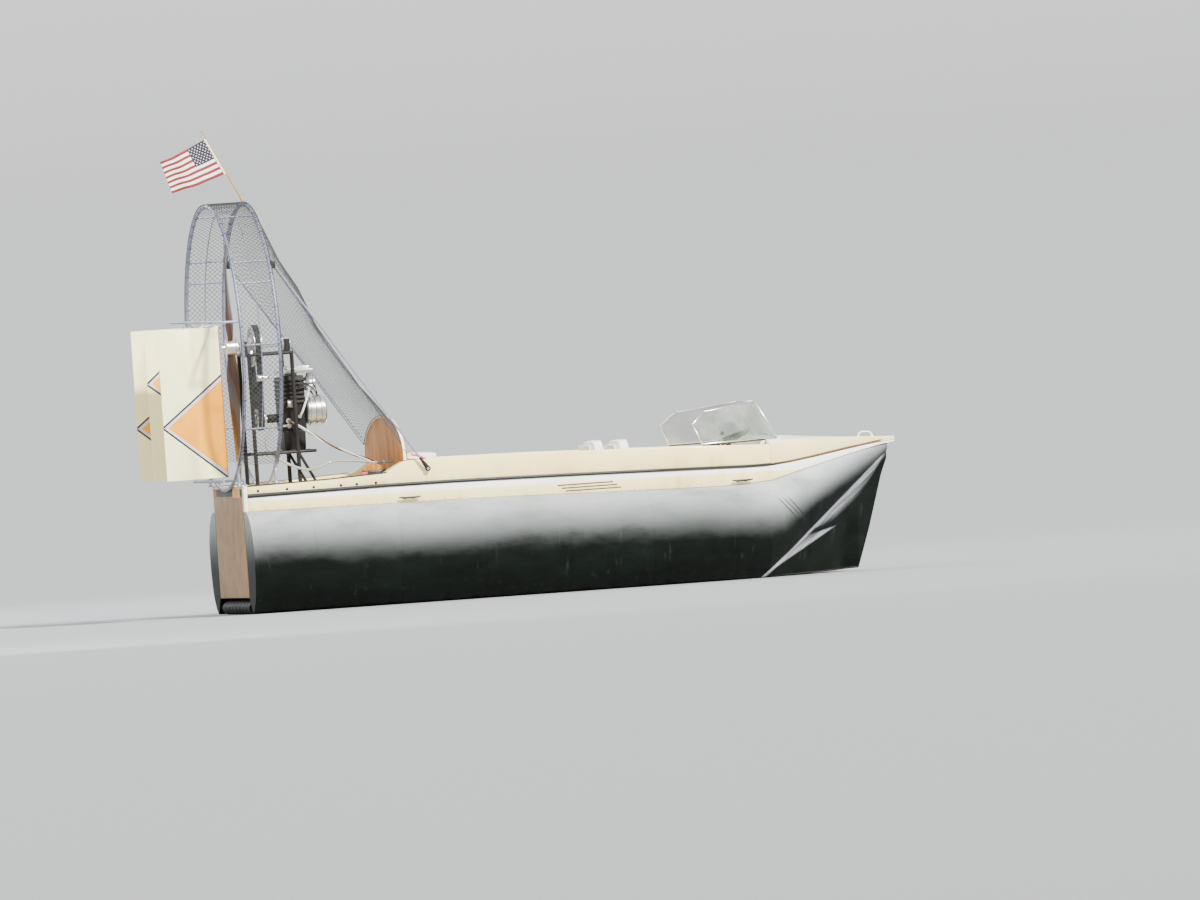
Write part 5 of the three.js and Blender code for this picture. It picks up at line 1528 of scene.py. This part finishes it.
def hoses():
    line = curve([craft(*p) for p in HOSE_ROUTE], 10)
    Shape().sweep(line, 0.009, 14).build("coolant_hose_tube", "hose", "root", ("coolant_hose",))
    clips = Shape()
    for i in (4, len(line) - 6, 50, 88):
        clips.collar(line[i], line[i + 1] - line[i - 1], 0.0088, 0.0106, -0.005, 0.005)
        clips.box(line[i] + Vector((-0.006, -0.006, 0.009)), line[i] + Vector((0.006, 0.006, 0.015)),
                  0.001, 1)
    clips.build("coolant_hose_clips", "steel")
    line = curve([craft(*p) for p in LOOM_ROUTE], 9)
    for k, (paint, stands_for) in enumerate((("rust", ("wire_loom",)), ("enamel", ()), ("hose", ()))):
        strand = []
        for i, place in enumerate(line):
            side, up = basis(line[min(i + 1, len(line) - 1)] - line[max(i - 1, 0)])
            a = 0.22 * i + k * 2 * math.pi / 3
            strand.append(place + (side * math.cos(a) + up * math.sin(a)) * 0.0062)
        Shape().sweep(strand, 0.0046, 10).build(f"wire_loom_{paint}", paint, "root", stands_for)


def ignition():
    """Plug leads from a distributor cap on the front of the block over to both sides."""
    y, z, tower_ring = 0.045, 1.500, 0.018
    cap = Shape().turned([(0, 0), (0.030, 0), (0.034, 0.004), (0.034, 0.024), (0.028, 0.034), (0, 0.036)],
                         craft(0.640, y, z), FORWARD, 28)
    leads = []
    for i, a in enumerate(round_trip(4, 0.4)):
        cap.rod(about(0.672, y, z, tower_ring, a), about(0.690, y, z, tower_ring, a), 0.0062, sides=12)
        start = about(0.688, y, z, tower_ring, a)
        side = -1 if i in (1, 2) else 1
        plug = craft(0.470 + 0.06 * (i % 2), side * 0.128, 1.660 - 0.05 * (i // 2))
        middle = craft(0.655, side * 0.135, 1.600 + 0.03 * (i // 2))
        leads.append(curve([start, start + Vector((0.030, 0, 0.01)), middle,
                            plug + Vector((0.03, side * 0.02, 0)), plug], 10))
    cap.build("distributor_cap", "rubber")
    stem = Shape().rod(craft(0.598, y, z), craft(0.6405, y, z), 0.026, 0.024, 24)
    stem.build("distributor_stem", "casting")
    grown("plug_leads", "wires", leads, "rubber", angle=60, Radius=0.0038, Sides=10)


# Lift fan

FAN_X = 0.890


def lift_fan():
    """A vertical duct with a fan in it and a guard over its mouth."""
    place = craft(FAN_X, 0, 0)
    arm_z, guard_z = 0.560, 0.9020
    shell = Shape().turned([(0.232, 0.341), (0.244, 0.341), (0.244, 0.884), (0.262, 0.888), (0.263, 0.896),
                            (0.250, 0.9000), (0.238, 0.899), (0.232, 0.888)], place, UPWARD, 96, wrap=True)
    for a in (0, math.pi / 3, 2 * math.pi / 3):
        shell.rod(place + level(-0.236, a, arm_z), place + level(0.236, a, arm_z), 0.011, sides=14)
    shell.turned([(0, 0.530), (0.042, 0.530), (0.045, 0.533), (0.045, 0.597), (0.042, 0.600), (0, 0.600)],
                 place, UPWARD, 36)
    shell.build("lift_duct_shell", "casting", "root", ("lift_duct",), angle=35)
    fan_blades(place + Vector((0, 0, 0.720)))
    hub = Shape().turned([(0, 0.606), (0.046, 0.606), (0.050, 0.611), (0.050, 0.735), (0.044, 0.748),
                          (0.020, 0.755), (0, 0.756)], place, UPWARD, 40)
    hub.build("lift_fan_hub", "iron", "lift_fan", angle=40)
    guard = Shape()
    for r in (0.045, 0.080, 0.115, 0.150, 0.185, 0.220, 0.252):
        guard.sweep([place + level(r, a, guard_z + 0.0015) for a in round_trip(72)], 0.0024, 6, closed=True)
    for a in round_trip(4, math.pi / 4):
        guard.rod(place + level(0.045, a, guard_z), place + level(0.258, a, guard_z), 0.003, sides=8)
    guard.build("lift_fan_guard", "steel")


def fan_blades(place):
    """Eight twisted blades; each row is a section's radius, half chord and twist."""
    rows = ((0.035, 0.026, 0.72), (0.065, 0.034, 0.66), (0.100, 0.044, 0.60), (0.160, 0.045, 0.55),
            (0.215, 0.044, 0.50), (0.2215, 0.040, 0.50))
    section = ((-1, 0), (-0.6, 0.8), (0, 1), (0.6, 0.7), (1, 0), (0.6, -0.5), (0, -0.7), (-0.6, -0.4))
    blades = Shape()
    for turn in round_trip(8):
        rings = []
        for r, half_chord, twist in rows:
            ring = []
            for s, t in section:
                u, v = s * half_chord, t * 0.0028 + 0.005 * (1 - s * s)
                spot = Vector((r, u * math.cos(twist) - v * math.sin(twist),
                               u * math.sin(twist) + v * math.cos(twist)))
                ring.append(place + Matrix.Rotation(turn, 3, "Z") @ spot)
            rings.append(ring)
        blades.loft(rings)
    blades.build("lift_fan_blades", "casting", "lift_fan", ("lift_fan",), angle=45)


# Rudders

TIE_X, TIE_Z, TOP_BAR_Z, LOW_BAR_Z, BAR_RADIUS = -0.060, 2.106, 2.131, 0.975, 0.009
PIN_LOW, PIN_TOP, WASHERS_Z, RIVET_X = 0.986, 2.1205, (0.9965, 2.0975), -0.118


def rudder_section():
    """Plan of a rudder from its nose to the trailing edge and back, as pairs of x and y."""
    key = [(RUDDER_FRONT, 0.0), (-0.084, 0.5), (-0.100, 0.82), (-0.150, 1.0), (-0.240, 0.95), (-0.390, 0.62),
           (RUDDER_REAR, 0.18)]
    side = curve([(x, v * RUDDER_THICK / 2, 0) for x, v in key], 4)
    return [(p.x, max(p.y, 0)) for p in side] + [(p.x, -max(p.y, 0)) for p in side[:0:-1]]


def rudder(name, y, plan):
    """Blade, hinge pin, horn and rivets, which all swing together."""
    body = f"rudder_{name}"
    levels = ((RUDDER_LOW, 0.90), (RUDDER_LOW + 0.002, 1), (mixed(RUDDER_LOW, RUDDER_TOP, 0.5), 1),
              (RUDDER_TOP - 0.002, 1), (RUDDER_TOP, 0.90))
    skin = Shape().loft([[craft(px, y + py * k, z) for px, py in plan] for z, k in levels])
    skin.build(f"{body}_blade", "rudder_flipped" if name == "centre" else "rudder", body, (body,), angle=35)
    pin = Shape().rod(craft(HINGE, y, PIN_LOW), craft(HINGE, y, PIN_TOP), 0.008, sides=20)
    for z in WASHERS_Z:
        pin.collar(craft(HINGE, y, z), UPWARD, 0.0075, 0.016, 0, 0.006)
    pin.build(f"{body}_pin", "steel", body, angle=35)
    edge = [(-0.150, 0.012), (-0.110, 0.013), (-0.050, 0.008)]
    outline = [(x, -out) for x, out in edge] + edge[::-1]
    horn = Shape().prism([craft(x, y + out, RUDDER_TOP + 0.0005) for x, out in outline], (0, 0, 0.005))
    horn.build(f"{body}_horn", "steel", body, ease=0.0012)
    rivets = [(craft(RIVET_X, y + side * 0.0152, z), (0.1, side, 0)) for side in (-1, 1)
              for z in spread(RUDDER_LOW + 0.03, RUDDER_TOP - 0.03, 0.115)]
    studs(f"{body}_rivets", rivets, "steel", 0.0035, 0.0016, body, 8)


def rudders():
    plan = rudder_section()
    for name, y in RUDDER_PLACES.items():
        rudder(name, y, plan)
    tie = Shape().rod(craft(TIE_X, -0.515, TIE_Z), craft(TIE_X, 0.515, TIE_Z), 0.004, sides=12)
    for y in RUDDER_PLACES.values():
        tie.collar(craft(TIE_X, y, TIE_Z), ACROSS, 0.0039, 0.0068, -0.012, 0.012, 16)
    tie.build("tie_bar_rod", "steel", "tie_bar", ("rudder_tie_bar",), angle=35)
    top_bar()
    low_bar()


def hinge_bar(end_y, z, socket):
    """The straight part of a bar behind the hoops, with a collar at each rudder."""
    bar = Shape().rod(craft(HINGE, -end_y, z), craft(HINGE, end_y, z), BAR_RADIUS, sides=20)
    for y in RUDDER_PLACES.values():
        bar.collar(craft(HINGE, y, z), ACROSS, 0.0088, socket, -0.014, 0.014)
    return bar


def top_bar():
    hoop_y = math.sqrt(CAGE_RADIUS ** 2 - (TOP_BAR_Z - CAGE_Z) ** 2)
    bar = hinge_bar(hoop_y, TOP_BAR_Z, 0.0125)
    for y in (-hoop_y, hoop_y):
        bar.sweep([craft(x, y, TOP_BAR_Z) for x in (HINGE, HINGE + 0.02, -0.0275)], BAR_RADIUS, 16)
        bar.turned([(0, -0.0095), (0.009, -0.0065), (0.0095, 0), (0.009, 0.0065), (0, 0.0095)],
                   craft(HINGE, y, TOP_BAR_Z), ACROSS, 16)
    bar.build("rudder_bar_top", "tube", "root", ("rudder_frame_top",), angle=40)


def low_bar():
    """The lower bar bends down to two feet on the aft deck."""
    foot_x, foot_y = 0.036, 0.480
    deck = top(foot_x) + 0.001
    bar = hinge_bar(0.560, LOW_BAR_Z, 0.0105)
    bolts = []
    bend = ((HINGE, LOW_BAR_Z), (-0.02, LOW_BAR_Z), (0.024, 0.972), (foot_x, 0.958), (foot_x, deck + 0.002))
    for y in (-foot_y, foot_y):
        bar.sweep(curve([craft(x, y, z) for x, z in bend], 5), BAR_RADIUS, 16)
        bar.box(craft(foot_x - 0.032, y - 0.026, deck), craft(foot_x + 0.032, y + 0.026, deck + 0.006),
                0.0015)
        bolts += [(craft(foot_x + s * 0.021, y + s * 0.014, deck + 0.0065), UPWARD) for s in (-1, 1)]
    bar.build("rudder_bar_bottom", "tube", "root", ("rudder_frame_bottom",), angle=40)
    studs("rudder_bar_bolts", bolts, "steel", 0.005, 0.005, "root", 6)


# Flag

HOIST_TOP, HOIST_LOW = Vector((0.012, 0, 3.452)), Vector((0.144, 0, 3.193))
FLY_TOP, FLY_LOW = Vector((-0.325, 0, 3.309)), Vector((-0.252, 0, 3.082))


def flag():
    base, tip = craft(0.262, 0, 2.987), craft(-0.010, 0, 3.520)
    along, long = (tip - base).normalized(), (tip - base).length
    pole = [(0, 0), (0.0058, 0), (0.006, 0.002), (0.0035, long - 0.016), (0.0062, long - 0.014),
            (0.0066, long - 0.008), (0.004, long - 0.001), (0, long)]
    socket = [(0.0058, 0.0), (0.010, 0.001), (0.010, 0.030), (0.0058, 0.034)]
    staff = Shape().turned(pole, base, along, 20).turned(socket, base, along, 20, wrap=True)
    staff.build("flag_staff_pole", "staff", "root", ("flag_staff",), angle=50)
    flag_sheet()
    sleeve = Shape().sweep([craft(*mixed(HOIST_TOP, HOIST_LOW, t)) for t in spread(-0.01, 1.01, 0.1)],
                           0.0072, 14)
    sleeve.build("flag_sleeve", "enamel")


def flag_sheet():
    """Cloth that hangs from the staff: t runs from the hoist to the fly, s from its upper edge down."""
    across, down = 72, 44
    mesh = bpy.data.meshes.new("flag_sheet")
    verts, faces, uvs = [], [], []
    for i in range(across + 1):
        t = i / across
        for j in range(down + 1):
            s = j / down
            flat = HOIST_TOP.lerp(FLY_TOP, t).lerp(HOIST_LOW.lerp(FLY_LOW, t), s)
            fold = 0.014 * math.sin((t * 1.2 + 0.10 * s) * 2 * math.pi) * t
            fold += 0.004 * math.sin((t * 3.1 - 0.5 * s) * 2 * math.pi) * t
            sag = -0.010 * math.sin(math.pi * t) * (0.4 + 0.6 * s) + 0.003 * math.sin(t * 15 + s * 3) * t
            verts.append(craft(flat.x, fold, flat.z + sag))
            uvs.append((t, 1 - s))
    for i in range(across):
        for j in range(down):
            a = i * (down + 1) + j
            faces.append((a, a + down + 1, a + down + 2, a + 1))
    mesh.from_pydata(verts, [], faces)
    cloth = mesh.uv_layers.new(name="cloth")
    for loop in mesh.loops:
        cloth.data[loop.index].uv = uvs[loop.vertex_index]
    sheet = placed("flag_sheet", mesh, "flag", "root", ("flag",), angle=180)
    thick = sheet.modifiers.new("thick", "SOLIDIFY")
    thick.thickness = 0.0008
    thick.offset = 0


# Windshield

def windshield():
    base_x, rake, clear, aft_x, aft_y = 3.990, -0.526, 0.009, 3.400, 0.640
    corner = Vector((3.859, 0.345, 1.277))

    def foot_point(y):
        z = deck_z(base_x, y) + clear
        return Vector((corner.x + (z - corner.z) * rake, y, z))

    def flip(points):
        return [Vector((p.x, -p.y, p.z)) for p in points]

    base = [foot_point(y) for y in (-0.4, -0.2, 0.0, 0.2, 0.4)]
    front = base + [corner] + flip([corner])
    aft = Vector((aft_x, aft_y, top(aft_x) + 0.013))
    a = base[-1]
    normal = (aft - a).cross(corner - a).normalized()

    def on_side(x, z):
        return Vector((x, a.y - (normal.x * (x - a.x) + normal.z * (z - a.z)) / normal.y, z))

    side = [a, aft, on_side(3.340, 1.145), on_side(3.450, 1.230), corner]
    ball = [(0, -0.0066), (0.0046, -0.0046), (0.0066, 0), (0.0046, 0.0046), (0, 0.0066)]
    edging = Shape()
    for points in (front, side, flip(side)):
        for p, q in zip(points, points[1:] + points[:1]):
            edging.rod(craft(*p), craft(*q), 0.006, sides=12, ease=0.0005)
            edging.turned(ball, craft(*p), UPWARD, 12)
    edging.build("windshield_edging", "steel", "root", ("windshield_frame",), angle=50)
    gasket = Shape()
    for start, end in ((a, aft), flip((a, aft))):
        line = [craft(*start.lerp(end, t)) - Vector((0, 0, 0.009)) for t in spread(0, 1, 0.1)]
        gasket.sweep(line, 0.0045, 8)
    gasket.build("windshield_gasket", "black")
    for name, paint in (("front", "front_pane"), ("port", "pane"), ("starboard", "pane")):
        keep(f"windshield_{name}", paint)
    strip_x = base_x + 0.018
    section = [(-0.016, -0.004), (0.016, -0.004), (0.016, 0.0), (0.010, 0.004), (-0.010, 0.004), (-0.016, 0)]
    line = [craft(strip_x, y, deck_z(strip_x, y) + 0.004) for y in spread(-0.42, 0.42, 0.06)]
    strip = Shape().sweep(line, 1, section=section)
    strip.build("windshield_strip", "enamel", ease=0.001)


# Cockpit

def pillow_point(u, v, w, size, crown_height, pinch, channels):
    """A place on a crowned cushion: u, v and w run from -1 to 1 over its width, depth and thickness."""
    power = 7
    stretch = (abs(u) ** power + abs(v) ** power + abs(w) ** power) ** (1 / power)
    u, v, w = u / stretch, v / stretch, w / stretch
    swell = 1 + crown_height * (1 - u ** 4) * (1 - v ** 4)
    valley = sum(math.exp(-(((u - c) * size[0] / 0.010) ** 2)) for c in channels)
    x = u * (1 - pinch * (1 - v * v)) * size[0]
    y = v * (1 - pinch * (1 - u * u)) * size[1]
    z = w * swell * size[2] - (0.010 * valley if w > 0.2 else 0)
    return x, y, z


def cushion(name, middle, axes, size, crown_height=0.25, pinch=0.02, channels=()):
    """A stuffed pad on three axes with half sizes, with welts along its two seams."""
    cells, welt_cells, seam, welt_radius = 26, 16, 0.72, 0.0036
    middle = Vector(middle)
    axes = [Vector(axis).normalized() for axis in axes]

    def place(u, v, w):
        x, y, z = pillow_point(u, v, w, size, crown_height, pinch, channels)
        wrinkle = 0.0016 * noise.noise(Vector((x, y, z)) * 14 + middle * 5)
        out = Vector((u, v, w)).normalized() * wrinkle
        return middle + axes[0] * (x + out.x) + axes[1] * (y + out.y) + axes[2] * (z + out.z)

    shape = Shape()
    for axis in range(3):
        for end in (-1, 1):
            grid = []
            for i in range(cells + 1):
                row = []
                for j in range(cells + 1):
                    point = [0, 0, 0]
                    point[axis] = end
                    point[(axis + 1) % 3] = math.sin((i / cells * 2 - 1) * math.pi / 2)
                    point[(axis + 2) % 3] = math.sin((j / cells * 2 - 1) * math.pi / 2)
                    row.append(place(*point))
                grid.append(row)
            shape.loft(grid, caps=False, closed=False)
    shape.build(name, "vinyl", angle=180)
    welt = Shape()
    for w in (-seam, seam):
        edge = []
        for k in range(4):
            for i in range(welt_cells):
                t = -1 + 2 * i / welt_cells
                u, v = ((t, -1), (1, t), (-t, 1), (-1, -t))[k]
                edge.append(place(u * 1.002, v * 1.002, w))
        welt.sweep(edge, welt_radius, 8, closed=True)
    welt.build(name + "_piping", "vinyl", angle=60)


def leaning(run, rise):
    """Angle and two directions of a back that leans aft: up along it and square out of it."""
    lean = math.atan2(run, rise)
    return lean, Vector((-math.sin(lean), 0, math.cos(lean))), Vector((math.cos(lean), 0, math.sin(lean)))


LYING = (ACROSS, (-1, 0, 0), UPWARD)


def seats():
    lean, up, ahead = leaning(0.055, 0.50)
    seat_x, seat_y, port_aft, channels = 2.790, 0.300, 0.070, (-0.36, 0.36)
    for name, side in SIDES.items():
        rear = seat_x - (port_aft if side > 0 else 0)
        y = side * seat_y
        box = Shape().box(craft(rear + 0.065, y - 0.200, FLOOR_TOP), craft(rear + 0.505, y + 0.200, 0.458),
                          0.012, 3)
        box.build(f"seat_{name}_pedestal", "dash", "root", (f"seat_{name}",))
        cushion(f"seat_{name}_cushion", craft(rear + 0.295, y, 0.512), LYING, (0.216, 0.222, 0.046),
                channels=channels)
        cushion(f"seat_{name}_back", craft(rear + 0.078, y, 0.812), (ACROSS, up, ahead),
                (0.214, 0.262, 0.040), channels=channels)
        shell = Shape().box(craft(rear + 0.008, y - 0.196, 0.560), craft(rear + 0.020, y + 0.196, 1.040),
                            0.005, turn=Matrix.Rotation(-lean, 4, "Y"))
        shell.build(f"seat_{name}_shell", "dash")


def bench():
    side_box, gap = 0.180, 0.025
    wide = half(1.300) - side_box - gap
    base = Shape().box(craft(1.206, -wide, FLOOR_TOP), craft(1.690, wide, 0.470), 0.010, 3)
    base.build("bench_base", "dash", "root", ("rear_bench",))
    _, up, ahead = leaning(0.08, 0.50)
    thirds = (-1 / 3, 1 / 3)
    cushion("bench_cushion", craft(1.545, 0, 0.524), LYING, (wide - 0.004, 0.150, 0.050), 0.18, 0.006, thirds)
    cushion("bench_back", craft(1.325, 0, 0.830), (ACROSS, up, ahead), (wide - 0.004, 0.252, 0.052), 0.15,
            0.006, thirds)
    cushion("bench_headrest", craft(1.398, 0, 1.046), LYING, (wide - 0.06, 0.082, 0.030), 0.1, 0.01)
    stripe = Shape()
    for y in (-wide, wide):
        bend = curve([craft(1.268, y, 1.074), craft(1.320, y, 1.060), craft(1.390, y * 0.98, 1.020)], 5)
        stripe.sweep(bend, 0.009, 10)
    stripe.build("bench_stripe", "ember")


def steering():
    turn = Matrix.Rotation(math.radians(-20), 3, "Y")
    place = craft(3.640, -0.300, 1.010)
    rim = Shape().sweep([place + turn @ level(0.170, a) for a in round_trip(64)], 0.012, 14, closed=True)
    rim.build("steering_rim", "rubber", "steering_wheel", ("steering_wheel",), angle=60)
    spokes = Shape()
    for a in round_trip(3, math.pi / 2):
        line = [place + turn @ level(r, a, z)
                for r, z in ((0.020, -0.010), (0.070, -0.006), (0.130, -0.001), (0.164, 0))]
        spokes.sweep(line, [0.012, 0.010, 0.009, 0.009], section=oval(0.55))
    boss = [(0, -0.022), (0.024, -0.022), (0.030, -0.012), (0.036, -0.002), (0.034, 0.008), (0.020, 0.012),
            (0, 0.0125)]
    spokes.turned(boss, place, turn @ Vector(UPWARD), 32)
    spokes.build("steering_spokes", "black", "steering_wheel", angle=40)
    eased("steering_column", "iron", 0.002)


def dashboard():
    eased("dash", "dash", 0.006)
    bezels, dials, switches = Shape(), Shape(), Shape()
    dash_x, row_z, aft = 3.8618, 0.925, (-1, 0, 0)
    for y, r in ((-0.300, 0.044), (-0.190, 0.034), (-0.390, 0.034), (-0.110, 0.026)):
        place = craft(dash_x, y, row_z)
        rim = [(r - 0.004, 0), (r, 0.001), (r, 0.005), (r - 0.004, 0.007), (r - 0.006, 0.002)]
        bezels.turned(rim, place, aft, 40, wrap=True)
        dials.turned([(0, 0), (r - 0.004, 0), (r - 0.004, 0.0015), (0, 0.0015)], place, aft, 40)
    for i in range(6):
        y = 0.02 + 0.034 * i
        switches.box(craft(dash_x - 0.0063, y - 0.010, row_z - 0.009),
                     craft(dash_x + 0.0007, y + 0.010, row_z + 0.009), 0.002, 1)
    bezels.build("dash_bezels", "steel", angle=35)
    dials.build("dash_dials", "black")
    switches.build("dash_switches", "black")


def throttle():
    x, y = 3.550, 0.015 - (half(3.590) - 0.180)
    box = Shape().box(craft(x - 0.040, y - 0.014, 0.880), craft(x + 0.040, y + 0.014, 0.950), 0.004)
    box.build("throttle_box", "black", "root", ("throttle_lever",))
    stick = Shape().rod(craft(x, y, 0.940), craft(x + 0.022, y, 1.062), 0.006, 0.005, 16)
    stick.build("throttle_stick", "steel")
    ball = [(0, -0.015), (0.009, -0.012), (0.0145, -0.002), (0.0135, 0.007), (0.008, 0.013), (0, 0.0148)]
    knob = Shape().turned(ball, craft(x + 0.022, y, 1.066), (0.18, 0, 1), 28)
    knob.build("throttle_knob", "black", angle=180)


def bow_ring():
    rear, front = 4.675, 4.775
    rise = ((0, 0.002), (0.003, 0.018), (0.020, 0.032))

    def at(x, up):
        return craft(x, 0, deck_z(x, 0) + up)

    loop = [at(rear + d, up) for d, up in rise] + [at((rear + front) / 2, 0.036)]
    loop += [at(front - d, up) for d, up in rise[::-1]]
    ring = Shape().sweep(curve(loop, 8), 0.005, 14)
    foot_plate = [(0, 0.0006), (0.0125, 0.0006), (0.0125, 0.0035), (0.010, 0.005), (0, 0.0052)]
    for x in (rear, front):
        ring.turned(foot_plate, at(x, 0), UPWARD, 28)
    ring.build("bow_ring_loop", "enamel", "root", ("bow_ring",), angle=45)


camera()
studio()
hull()
for label, way in SIDES.items():
    skirt_side(label, way)
skirt_stern()
bulkhead()
cage()
propeller()
engine()
lift_fan()
rudders()
flag()
windshield()
seats()
bench()
steering()
dashboard()
throttle()
bow_ring()
